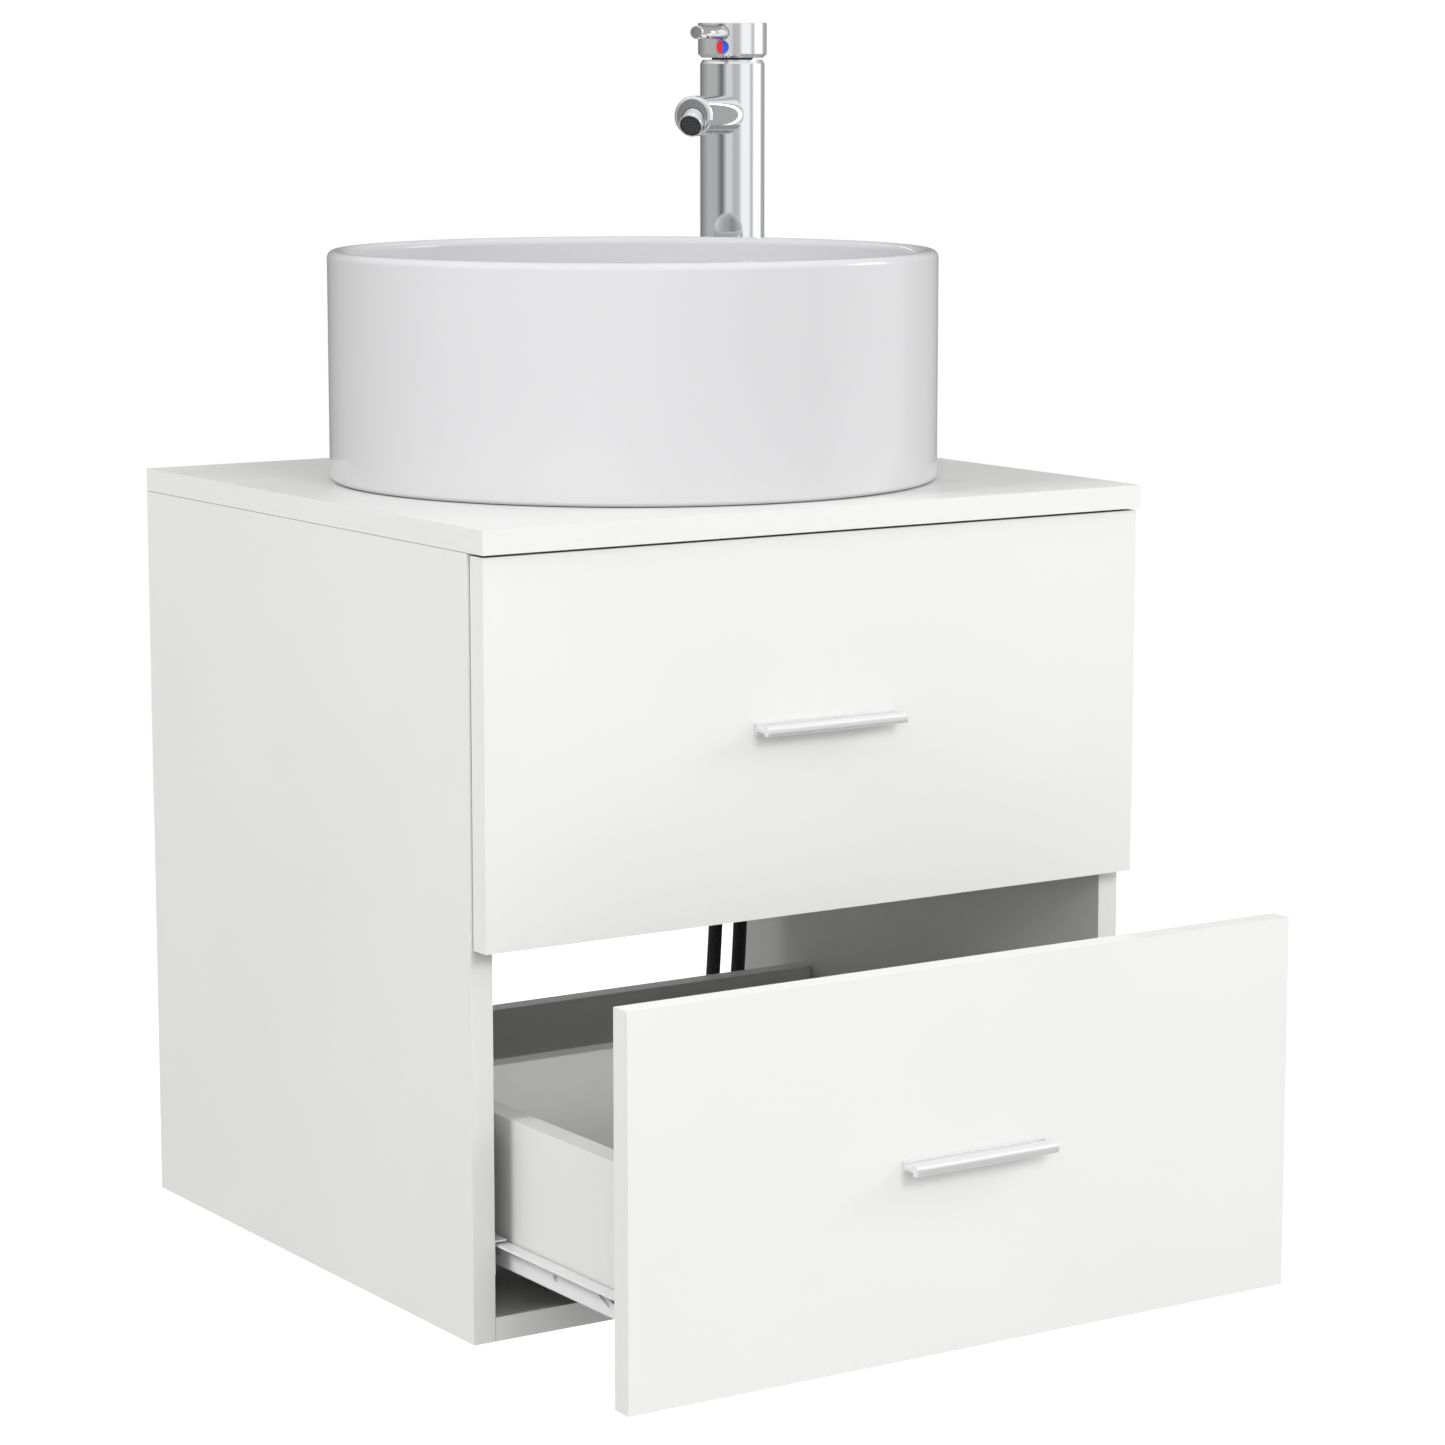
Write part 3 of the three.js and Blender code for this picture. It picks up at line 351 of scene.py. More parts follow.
def make_braid_group():
    """Two crossing helical strands over a hose, from its own length and girth coordinates."""
    group, given, out = group_shell(
        "braid", [("Turns", 90.0), ("Strands", 12.0)], ["Height", "Gap"]
    )
    place = group.nodes.new("ShaderNodeTexCoord")
    split = group.nodes.new("ShaderNodeSeparateXYZ")
    group.links.new(place.outputs["UV"], split.inputs[0])
    along = arithmetic(group, "MULTIPLY", split.outputs["X"], given.outputs["Turns"])
    around = arithmetic(group, "MULTIPLY", split.outputs["Y"], given.outputs["Strands"])
    waves = []
    for operation in ("ADD", "SUBTRACT"):
        phase = arithmetic(group, "MULTIPLY", arithmetic(group, operation, along, around), math.tau)
        wave = group.nodes.new("ShaderNodeMath")
        wave.operation = "SINE"
        group.links.new(phase, wave.inputs[0])
        waves.append(wave.outputs["Value"])
    height = arithmetic(group, "MAXIMUM", waves[0], waves[1])
    group.links.new(height, out.inputs["Height"])
    group.links.new(remap(group, height, 0.2, -0.6), out.inputs["Gap"])
    return group


SURFACE = make_surface_group()
BRUSHED_X = make_brushed_group("brushed_lengthwise", (0.6, 40.0, 40.0))
BRUSHED_Z = make_brushed_group("turned_lines", (2.0, 2.0, 60.0))
BRAID = make_braid_group()


# ------------------------------------------------------------------------- materials

class Finish:
    """One material: a Principled shader and the nodes that feed it."""

    def __init__(self, name, roughness, metallic=0.0, color=None, **sockets):
        self.material = bpy.data.materials.new(name)
        self.material.use_nodes = True
        self.tree = self.material.node_tree
        self.shader = self.tree.nodes["Principled BSDF"]
        self.shader.inputs["Roughness"].default_value = roughness
        self.shader.inputs["Metallic"].default_value = metallic
        if color:
            self.shader.inputs["Base Color"].default_value = (*color, 1)
        for label, value in sockets.items():
            self.shader.inputs[label.replace("_", " ")].default_value = value

    def use(self, group, **values):
        node = self.tree.nodes.new("ShaderNodeGroup")
        node.node_tree = group
        for label, value in values.items():
            node.inputs[label.replace("_", " ")].default_value = value
        return node

    def color(self, mask, first, second):
        mixed = mix_colors(self.tree, mask, first, second)
        self.tree.links.new(mixed, self.shader.inputs["Base Color"])

    def rough(self, mask, low, high):
        value = remap(self.tree, mask, 0.0, 1.0, low, high)
        self.tree.links.new(value, self.shader.inputs["Roughness"])

    def bump(self, height, distance, strength=1.0):
        node = self.tree.nodes.new("ShaderNodeBump")
        node.inputs["Distance"].default_value = distance
        node.inputs["Strength"].default_value = strength
        self.tree.links.new(height, node.inputs["Height"])
        self.tree.links.new(node.outputs["Normal"], self.shader.inputs["Normal"])


def even_finish(name, first, second, rough, relief, scale=900.0, metallic=0.0, **sockets):
    """A finish with slow tone drift, fine relief and slightly varied gloss."""
    finish = Finish(name, rough[0], metallic, **sockets)
    surface = finish.use(SURFACE, Relief_Scale=scale)
    finish.color(surface.outputs["Tone"], first, second)
    finish.rough(surface.outputs["Marks"], *rough)
    finish.bump(surface.outputs["Height"], relief)
    return finish.material


def lined_finish(name, group, first, second, rough, relief, line_scale=40.0, metallic=1.0):
    """A metal with brushed or machined lines."""
    finish = Finish(name, rough[0], metallic)
    lines = finish.use(group, Line_Scale=line_scale)
    finish.color(lines.outputs["Lines"], first, second)
    finish.rough(lines.outputs["Lines"], *rough)
    finish.bump(lines.outputs["Height"], relief)
    return finish.material


def braid_finish():
    finish = Finish("hose_braid", 0.42)
    braid = finish.use(BRAID)
    finish.color(braid.outputs["Gap"], (0.012, 0.012, 0.013), (0.003, 0.003, 0.003))
    finish.rough(braid.outputs["Gap"], 0.38, 0.7)
    finish.bump(braid.outputs["Height"], 0.25 * MM)
    return finish.material


MELAMINE = even_finish(
    "white_melamine", (0.82, 0.82, 0.81), (0.835, 0.835, 0.825), (0.36, 0.46), 0.02 * MM)
# Edge banding: its gloss is real, its slightly lighter colour than the melamine is a painted highlight on
# the rounded edges.
EDGE_BAND_PAINTED_HIGHLIGHT = even_finish(
    "white_edge_band_painted_highlight", (0.83, 0.83, 0.82), (0.85, 0.85, 0.84), (0.24, 0.32), 0.01 * MM)
HARDBOARD = even_finish(
    "white_hardboard", (0.74, 0.73, 0.71), (0.78, 0.77, 0.75), (0.45, 0.6), 0.05 * MM, 600.0)
GLAZE = even_finish(
    "ceramic_glaze", (0.625, 0.625, 0.635), (0.64, 0.64, 0.65), (0.08, 0.12), 0.004 * MM, 60.0, IOR=1.3)
CHROME = even_finish(
    "bright_chrome", (0.86, 0.87, 0.88), (0.90, 0.90, 0.91), (0.02, 0.05), 0.0015 * MM, 120.0,
    metallic=1.0)
SATIN = lined_finish(
    "satin_aluminium", BRUSHED_X, (0.90, 0.90, 0.91), (0.94, 0.94, 0.945), (0.28, 0.34), 0.0015 * MM,
    metallic=0.85)
WHITE_STEEL = even_finish(
    "white_epoxy_steel", (0.88, 0.88, 0.88), (0.89, 0.89, 0.89), (0.30, 0.34), 0.001 * MM, 500.0)
SCREW_STEEL = even_finish(
    "bright_screw_steel", (0.80, 0.80, 0.81), (0.84, 0.84, 0.85), (0.28, 0.4), 0.003 * MM, 300.0,
    metallic=0.5)
ZINC = even_finish(
    "zinc_plate", (0.55, 0.57, 0.60), (0.68, 0.69, 0.72), (0.28, 0.45), 0.02 * MM, 220.0, metallic=1.0)
BRASS = lined_finish(
    "turned_brass", BRUSHED_Z, (0.62, 0.44, 0.18), (0.76, 0.58, 0.27), (0.25, 0.42), 0.02 * MM)
ROLLER_NYLON = even_finish(
    "roller_nylon", (0.74, 0.74, 0.70), (0.79, 0.79, 0.75), (0.35, 0.5), 0.02 * MM, 300.0)
LINER_PLASTIC = even_finish(
    "liner_plastic", (0.76, 0.76, 0.75), (0.8, 0.8, 0.79), (0.4, 0.5), 0.03 * MM, 800.0)
GREY_PLASTIC = even_finish(
    "grey_plastic", (0.07, 0.07, 0.073), (0.1, 0.1, 0.105), (0.4, 0.55), 0.02 * MM, 700.0)
RUBBER = even_finish(
    "seal_rubber", (0.012, 0.012, 0.012), (0.02, 0.02, 0.02), (0.5, 0.65), 0.04 * MM, 700.0)
HOSE_BRAID = braid_finish()
HOT_RED = even_finish(
    "hot_enamel", (0.75, 0.02, 0.03), (0.80, 0.035, 0.04), (0.12, 0.2), 0.003 * MM, 200.0)
COLD_BLUE = even_finish(
    "cold_enamel", (0.02, 0.09, 0.65), (0.03, 0.12, 0.72), (0.12, 0.2), 0.003 * MM, 200.0)


# ----------------------------------------------------------------------------- boards

def dress_board(node, finish=MELAMINE, edge=EDGE_BAND_PAINTED_HIGHLIGHT, radius=0.6 * MM):
    """A packed board with rounded, glossier edge banding, a touch lighter in colour as a painted highlight
    on the rounded edges.
    """
    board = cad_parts[node]
    board.data.materials.clear()
    board.data.materials.append(finish)
    board.data.materials.append(edge)
    flat = board.modifiers.new("flat_faces", "DECIMATE")
    flat.decimate_type = "DISSOLVE"
    flat.angle_limit = math.radians(1)
    rounding = board.modifiers.new("rounded_edges", "BEVEL")
    rounding.width = radius
    rounding.segments = 3
    rounding.limit_method = "ANGLE"
    rounding.angle_limit = math.radians(50)
    # The rounded edges take the second slot, the edge banding with its painted highlight.
    rounding.material = 1
    rounding.harden_normals = True
    board.data.shade_smooth()
    board.data.set_sharp_from_angle(angle=math.radians(30))


def dress_boards():
    carcass = ["countertop", "left_side_panel", "right_side_panel", "bottom_panel", "rear_lower_board",
               "hanging_rail"]
    for node in carcass:
        dress_board(node)
    for level in LEVELS:
        dress_board(f"{level}_drawer_front", radius=0.8 * MM)
        for side, _ in SIDES:
            dress_board(f"{level}_drawer_side_{side}")
        dress_board(f"{level}_drawer_floor", HARDBOARD, HARDBOARD, 0.3 * MM)
    dress_board("lower_drawer_back")
    for side, _ in SIDES:
        dress_board(f"upper_drawer_back_{side}")
    dress_board("pipe_cutout_liner", LINER_PLASTIC, LINER_PLASTIC, 0.6 * MM)


# ------------------------------------------------------------------- basin and waste

COUNTER_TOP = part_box("countertop")[1].z
COUNTER_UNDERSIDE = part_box("countertop")[0].z
BASIN_LOW, BASIN_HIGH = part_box("basin")
BASIN_CENTRE = (BASIN_LOW + BASIN_HIGH) / 2
BASIN_FLOOR = 22 * MM
WASTE_SEAT = BASIN_FLOOR - 2.2 * MM


def add_basin():
    """Round straight-walled vessel with a rounded rim."""
    radius = (BASIN_HIGH.x - BASIN_LOW.x) / 2
    height = BASIN_HIGH.z - BASIN_LOW.z
    wall = 10 * MM
    rim = wall / 2
    foot = 3 * MM
    hole = 22.5 * MM
    bowl = 26 * MM
    inner = radius - wall
    outline = [
        (hole, 0),
        (radius / 2, 0),
        *arc(foot, radius - foot, foot, -90, 0, 6),
        (radius, height / 2),
        *arc(rim, radius - rim, height - rim, 0, 180, 16),
        (inner, (BASIN_FLOOR + bowl + height) / 2),
        *arc(bowl, inner - bowl, BASIN_FLOOR + bowl, 0, -84, 14),
        (37 * MM, BASIN_FLOOR - 3 * MM),
        (hole, BASIN_FLOOR - 5 * MM),
    ]
    place = at(BASIN_CENTRE.x, BASIN_CENTRE.y, BASIN_LOW.z)
    piece("basin_glazed", moved(turned(outline, 160), place), GLAZE, "cabinet",
          ["basin"], 50)


def thread(radius, low, high, pitch=1.5 * MM, depth=0.45 * MM):
    """Outline points of a threaded stretch, going down from high to low."""
    turns = int((high - low) / pitch)
    points = []
    for i in range(turns):
        for inset, share in ((0, 0.15), (depth, 0.5), (0, 0.85)):
            points.append((radius - inset, high - i * pitch - share * pitch))
    return points


def hex_nut(across, length, bore, chamfer=0.8 * MM):
    """Hexagon nut from z = 0 up to its length, with turned-down corners and a bore."""
    corner = across / math.sqrt(3)
    body = prism(arc(corner, 0, 0, 30, 330, 5), 0, length)
    turning = turned([
        (0, 0), (across / 2 - 0.1 * MM, 0), (corner + 0.1 * MM, chamfer),
        (corner + 0.1 * MM, length - chamfer), (across / 2 - 0.1 * MM, length), (0, length),
    ], 72)
    hole = turned([
        (0, -1 * MM), (bore + 1 * MM, -1 * MM), (bore, 0.8 * MM),
        (bore, length - 0.8 * MM), (bore + 1 * MM, length + 1 * MM), (0, length + 1 * MM),
    ], 48)
    return carved(carved(body, turning, operation="INTERSECT"), hole)


WASTE_PLACE = at(BASIN_CENTRE.x, BASIN_CENTRE.y, COUNTER_TOP)
BARREL_RADIUS = 20.6 * MM
BARREL_CLEARANCE = BARREL_RADIUS + 0.3 * MM  # bore of what slides over the barrel


def height_over_counter(node):
    """A node's lowest point above the countertop's top face."""
    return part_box(node)[0].z - COUNTER_TOP


def add_waste_body():
    """Threaded body of a push-to-open waste, with the guide cross for its plug."""
    flange = 33 * MM
    bore = 16 * MM
    tail = 16 * MM
    tail_end = height_over_counter("waste_body")
    thread_end = tail_end + 34 * MM
    shell = turned([
        (bore, WASTE_SEAT - 12 * MM),
        (tail - 2 * MM, thread_end + 4 * MM),
        (tail - 2 * MM, tail_end),
        *arc(0.5 * MM, tail - 0.5 * MM, tail_end + 0.5 * MM, -90, 0, 3),
        (tail, thread_end),
        (BARREL_RADIUS - 0.6 * MM, thread_end),
        *reversed(thread(BARREL_RADIUS, thread_end + 0.5 * MM, -17 * MM)),
        (BARREL_RADIUS, -14 * MM),
        (BARREL_RADIUS, WASTE_SEAT - 1.6 * MM),
        (flange, WASTE_SEAT),
        *arc(1 * MM, flange - 1 * MM, WASTE_SEAT + 1.4 * MM, 0, 90, 5),
        (24 * MM, WASTE_SEAT + 0.6 * MM),
    ], 96)
    rib_half = 1.5 * MM
    arm = bore + 1 * MM
    rib_low, rib_high = -8 * MM, -4 * MM
    ribs = [
        block((-arm, -rib_half, rib_low), (arm, rib_half, rib_high)),
        block((-rib_half, -arm, rib_low), (rib_half, arm, rib_high)),
    ]
    guide_bore, guide_outer = 2.6 * MM, 5 * MM
    guide_low, guide_high = -14 * MM, -2 * MM
    guide = turned([
        (guide_bore, guide_low), (guide_outer, guide_low), (guide_outer, guide_high),
        (guide_bore, guide_high),
    ], 40)
    whole = moved(merged(shell, *ribs, guide), WASTE_PLACE)
    piece("waste_body_turned", whole, CHROME, "cabinet", ["waste_body"])


def add_waste_plug():
    cap = WASTE_SEAT + 2.7 * MM
    radius = 29.5 * MM
    stem = 2.2 * MM
    stem_end = -24 * MM
    edge = 1.2 * MM
    plug = turned([
        (0, stem_end), (stem, stem_end), (stem, cap), (radius - 1.5 * MM, cap),
        *arc(edge, radius - edge, cap + edge, -90, 60, 8),
        (radius - 6 * MM, cap + 4.1 * MM), (radius - 14 * MM, cap + 5 * MM), (0, cap + 5.2 * MM),
    ], 96)
    piece("waste_plug_domed", moved(plug, WASTE_PLACE), CHROME, "waste_plug", ["waste_plug"])


def add_waste_gasket():
    low = height_over_counter("waste_gasket")
    edge = 0.8 * MM
    edge_centre = 29.2 * MM
    gasket = turned([
        (BARREL_CLEARANCE, low), (29.4 * MM, low),
        *arc(edge, edge_centre, low + edge, -90, 0, 4),
        *arc(edge, edge_centre, low + 2.2 * MM, 0, 90, 4), (BARREL_CLEARANCE, low + 3 * MM),
    ], 80)
    piece("waste_gasket_ring", moved(gasket, WASTE_PLACE), RUBBER, "cabinet",
          ["waste_gasket"])


def add_waste_backnut():
    nut = hex_nut(52 * MM, 9 * MM, BARREL_CLEARANCE)
    place = WASTE_PLACE @ at(0, 0, height_over_counter("waste_backnut"))
    piece("waste_backnut_hex", moved(nut, place), BRASS, "cabinet", ["waste_backnut"])


# ------------------------------------------------------------------------------ mixer

BODY_LOW, BODY_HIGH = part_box("faucet_body")
MIXER_X = (BODY_LOW.x + BODY_HIGH.x) / 2
MIXER_Y = (BODY_LOW.y + BODY_HIGH.y) / 2
SPOUT_TURN = math.radians(-140)
MIXER_PLACE = at(MIXER_X, MIXER_Y, COUNTER_TOP)
MIXER_FRAME = MIXER_PLACE @ Matrix.Rotation(SPOUT_TURN, 4, "Z")
MIXER_RADIUS = 22.8 * MM
BODY_TOP = 271.3 * MM
CAP_LOW = 272.7 * MM
CAP_HIGH = 297 * MM
CAP_RADIUS = 24.3 * MM
SPOUT_RADIUS = 13.8 * MM
SPOUT_REACH = 95 * MM
SPOUT_HEIGHT = 233 * MM
AERATOR_TILT = math.radians(28)
AERATOR_RADIUS = 8.4 * MM
AERATOR_DEPTH = 16 * MM
AERATOR_MOUTH = (100 * MM, 226.3 * MM)
LEVER_HEIGHT = 290 * MM
LEVER_RADIUS = 4.7 * MM
LEVER_REACH = 86 * MM
STUD_OFFSET = -11 * MM
MARK_HEIGHT = 280.1 * MM
MARK_RADIUS = 4.5 * MM
TILT_LIMIT = math.radians(20)


def rod(radius, start, end, height, segments=96):
    """Cylinder along the spout direction."""
    return moved(cylinder(radius, start, end, segments), at(0, 0, height) @ along_x())


def add_mixer_body():
    edge = 0.5 * MM
    chamfer = 2.8 * MM
    inset = 1.6 * MM
    base = 1.8 * MM
    wall = 3.4 * MM
    bore = MIXER_RADIUS - 5 * MM
    outline = [
        (16.8 * MM, base),
        *arc(edge, MIXER_RADIUS - edge, base + edge, -90, 0, 4),
        (MIXER_RADIUS, SPOUT_HEIGHT - 40 * MM),
        (MIXER_RADIUS, SPOUT_HEIGHT + 20 * MM),
        (MIXER_RADIUS, BODY_TOP - chamfer),
        (MIXER_RADIUS - inset, BODY_TOP - 0.3 * MM),
        (MIXER_RADIUS - inset - 0.3 * MM, BODY_TOP),
        (bore, BODY_TOP),
        (bore, BODY_TOP - 25 * MM),
        (MIXER_RADIUS - wall, BODY_TOP - 30 * MM),
        (MIXER_RADIUS - wall, 11 * MM),
        (16.8 * MM, 11 * MM),
    ]
    piece("mixer_body", moved(turned(outline, 128), MIXER_FRAME), CHROME, "cabinet",
          ["faucet_body"])
    seal_bore, seal_outer = 17.5 * MM, 22.2 * MM
    seal_low, seal_high = 0.3 * MM, 1.5 * MM
    seal = turned([
        (seal_bore, seal_low), (seal_outer, seal_low), (seal_outer, seal_high), (seal_bore, seal_high),
    ], 96)
    piece("mixer_base_seal", moved(seal, MIXER_FRAME), RUBBER, "cabinet",
          ["faucet_base_seal"])


def aerator_frame():
    """Frame of the tilted aerator: its mouth is at z = 0 and it goes into the spout along -Z."""
    tilt = Matrix.Rotation(math.pi / 2 + AERATOR_TILT, 4, "Y")
    return at(AERATOR_MOUTH[0], 0, AERATOR_MOUTH[1]) @ tilt


def add_spout():
    edge = 3 * MM
    tube = turned([
        (0, 4 * MM), (SPOUT_RADIUS, 4 * MM), (SPOUT_RADIUS, 40 * MM), (SPOUT_RADIUS, 70 * MM),
        *arc(edge, SPOUT_RADIUS - edge, SPOUT_REACH - edge, 0, 90, 10), (0, SPOUT_REACH),
    ], 96)
    tube = moved(tube, at(0, 0, SPOUT_HEIGHT) @ along_x())
    saddle_radius = MIXER_RADIUS + 0.12 * MM
    saddle = cylinder(saddle_radius, 200 * MM, 265 * MM, 128)
    pocket = cylinder(AERATOR_RADIUS + 0.25 * MM, -AERATOR_DEPTH - 0.3 * MM, 12 * MM)
    spout = carved(tube, saddle, moved(pocket, aerator_frame()))
    piece("spout_tube", moved(spout, MIXER_FRAME), CHROME, "cabinet", ["faucet_spout"], 28)


def add_aerator():
    lip = 0.9 * MM
    inside = AERATOR_RADIUS - lip
    soft = 0.35 * MM
    housing = turned([
        (inside - 1.6 * MM, -AERATOR_DEPTH), (AERATOR_RADIUS, -AERATOR_DEPTH),
        *arc(soft, AERATOR_RADIUS - soft, -soft, 0, 90, 5),
        *arc(soft, inside + soft, -soft, 90, 180, 5),
        (inside, -9 * MM), (inside - 1.6 * MM, -9 * MM),
    ], 96)
    place = MIXER_FRAME @ aerator_frame()
    piece("aerator_ring", moved(housing, place), CHROME, "cabinet", ["aerator_housing"])

    wire = 0.22 * MM
    pitch = 1.15 * MM
    reach = inside - 0.3 * MM
    insert = cylinder(reach, -8.7 * MM, -1.9 * MM, 64)
    bars = []
    count = int(reach / pitch)
    for i in range(-count, count + 1):
        offset = i * pitch
        half = math.sqrt(reach ** 2 - offset ** 2)
        bars.append(block((offset - wire, -half, -2 * MM), (offset + wire, half, -1.35 * MM)))
        bars.append(block((-half, offset - wire, -1.7 * MM), (half, offset + wire, -1.1 * MM)))
    screen = moved(merged(insert, *bars), place)
    piece("aerator_mesh", screen, GREY_PLASTIC, "cabinet", ["aerator_screen"])


def add_cartridge():
    shoulder = BODY_TOP - 4 * MM
    low = 246 * MM
    radius = 17.6 * MM
    cartridge = turned([
        (0, low), (radius - 0.6 * MM, low), (radius, low + 0.6 * MM), (radius, shoulder - 0.6 * MM),
        (radius - 0.6 * MM, shoulder), (0, shoulder),
    ], 64)
    piece("ceramic_cartridge", moved(cartridge, MIXER_FRAME), LINER_PLASTIC, "cabinet",
          ["cartridge"])
    dome = 14.5 * MM
    spindle = turned([
        (0, shoulder + 0.3 * MM), (dome, shoulder + 0.3 * MM), (dome, CAP_LOW + 4 * MM),
        (9 * MM, CAP_LOW + 10 * MM), (0, CAP_LOW + 11 * MM),
    ], 64)
    piece("spindle_dome", moved(spindle, MIXER_FRAME), GREY_PLASTIC, "lever_spindle",
          ["cartridge_spindle"])


def add_lever():
    """Hollow cap with a relief behind its tilting line, the pin lever and the two-colour mark."""
    edge = 2.7 * MM
    soft = 0.7 * MM
    cavity_radius = 20.4 * MM
    cavity_top = 287.6 * MM
    blank = turned([
        (0, CAP_LOW), (CAP_RADIUS - edge, CAP_LOW), (CAP_RADIUS, CAP_LOW + edge),
        (CAP_RADIUS, CAP_HIGH - 6 * MM), *arc(soft, CAP_RADIUS - soft, CAP_HIGH - soft, 0, 90, 6),
        (0, CAP_HIGH),
    ], 128)
    cavity = cylinder(cavity_radius, CAP_LOW - 1 * MM, cavity_top)
    reach = 60 * MM
    pivot = -7 * MM
    relief = block((-reach, -reach, -30 * MM), (0, reach, 0))
    relief = moved(relief, at(pivot, 0, CAP_LOW) @ Matrix.Rotation(TILT_LIMIT + 0.02, 4, "Y"))
    pin_hole = rod(LEVER_RADIUS + 0.2 * MM, CAP_RADIUS - 8 * MM, CAP_RADIUS + 4 * MM, LEVER_HEIGHT, 64)
    pocket = rod(MARK_RADIUS + 0.12 * MM, CAP_RADIUS - 1.6 * MM, CAP_RADIUS + 4 * MM, MARK_HEIGHT, 64)
    cap = carved(blank, cavity, relief, pin_hole, pocket)
    piece("lever_cap", moved(cap, MIXER_FRAME), CHROME, "lever_handle", ["handle_cap"], 28)

    root = CAP_RADIUS - 7.6 * MM
    end = LEVER_REACH
    tip = 1 * MM
    pin = turned([
        (0, root), (LEVER_RADIUS, root), (LEVER_RADIUS, (root + end) / 2),
        *arc(tip, LEVER_RADIUS - tip, end - tip, 0, 90, 8), (0, end),
    ], 64)
    pin = moved(pin, MIXER_FRAME @ at(0, 0, LEVER_HEIGHT) @ along_x())
    piece("lever_pin_turned", pin, CHROME, "lever_handle", ["lever_pin"])
    add_mark()


def add_mark():
    """Enamel button with a hot half and a cold half, flush with the round cap."""
    face_radius = CAP_RADIUS + 0.3 * MM
    back = CAP_RADIUS - 1.3 * MM
    button = rod(MARK_RADIUS, back, CAP_RADIUS + 2 * MM, MARK_HEIGHT, 64)
    skin = cylinder(face_radius, CAP_LOW, CAP_HIGH, 256)
    button = carved(button, skin, operation="INTERSECT")
    bmesh.ops.bisect_plane(button, geom=[*button.verts, *button.edges, *button.faces],
                           plane_co=(0, 0, 0), plane_no=(0, 1, 0))
    for face in button.faces:
        face.material_index = 1 if face.calc_center_median().y > 0 else 0
    mark = piece("mark_hot_cold", moved(button, MIXER_FRAME), HOT_RED, "lever_handle",
                 ["temperature_mark"])
    mark.data.materials.append(COLD_BLUE)


def add_mixer_fixing():
    """Threaded stud, horseshoe washer and nut under the countertop."""
    stud_low, stud_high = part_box("fixing_stud")
    place = at(MIXER_X, MIXER_Y, 0)
    stud_place = place @ at(0, STUD_OFFSET, 0)
    radius = 4 * MM
    stud = turned([
        (0, stud_low.z), (radius - 0.8 * MM, stud_low.z), (radius - 0.1 * MM, stud_low.z + 0.8 * MM),
        *reversed(thread(radius, stud_low.z + 1 * MM, COUNTER_UNDERSIDE + 10 * MM, 1.25 * MM, 0.6 * MM)),
        (radius, COUNTER_UNDERSIDE + 11 * MM), (radius, stud_high.z), (0, stud_high.z),
    ], 32)
    piece("fixing_stud_threaded", moved(stud, stud_place), ZINC, "cabinet", ["fixing_stud"])

    nut_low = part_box("fixing_nut")[0].z
    nut = moved(hex_nut(13 * MM, 6.5 * MM, radius + 0.3 * MM), stud_place @ at(0, 0, nut_low))
    piece("fixing_nut_hex", nut, BRASS, "cabinet", ["fixing_nut"])

    washer_low, washer_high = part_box("horseshoe_washer")
    disc = cylinder(22 * MM, washer_low.z, washer_high.z, 72)
    slot_low = washer_low.z - 1 * MM
    slot_high = washer_high.z + 1 * MM
    slot = block((-13 * MM, -5.8 * MM, slot_low), (13 * MM, 30 * MM, slot_high))
    hole = moved(cylinder(4.3 * MM, slot_low, slot_high, 40), at(0, STUD_OFFSET, 0))
    washer = moved(carved(disc, slot, hole), place)
    piece("horseshoe_plate", washer, ZINC, "cabinet", ["horseshoe_washer"])


def hose_end_frame(side):
    """Frame at a hose's lower end, its Z pointing back up the hose."""
    points = hose_points(side)
    heading = (points[-2] - points[-1]).normalized()
    turn = Vector((0, 0, 1)).rotation_difference(heading).to_matrix().to_4x4()
    return Matrix.Translation(points[-1]) @ turn


def add_hose_nut(side):
    """Swivel nut on a hose's lower end and the crimped ferrule above it."""
    length = 20 * MM
    gap = 0.3 * MM
    place = hose_end_frame(side)
    bore = 7.6 * MM
    nut = moved(hex_nut(19 * MM, length, bore, 1.4 * MM), place @ at(0, 0, -length - gap))
    nut = piece(f"hose_nut_{side}_hex", nut, ZINC, "cabinet", [f"hose_nut_{side}"])

    inner = HOSE_DIAMETER / 2 + 0.05 * MM
    outer = inner + 0.9 * MM
    waist = outer - 0.5 * MM
    collar = turned([
        (inner, gap), *arc(0.5 * MM, outer - 0.5 * MM, gap + 0.5 * MM, -90, 0, 4),
        (outer, 4 * MM), (waist, 5 * MM), (waist, 7 * MM), (outer, 8 * MM),
        (outer, 10 * MM), (waist, 11 * MM), (waist, 13 * MM), (outer, 14 * MM),
        *arc(0.5 * MM, outer - 0.5 * MM, 17 * MM, 0, 90, 4), (inner, 17.5 * MM),
    ], 48)
    ferrule = piece(f"hose_ferrule_{side}", moved(collar, place), ZINC, "cabinet")
    return nut, ferrule


# ---------------------------------------------------------------- handles and slides

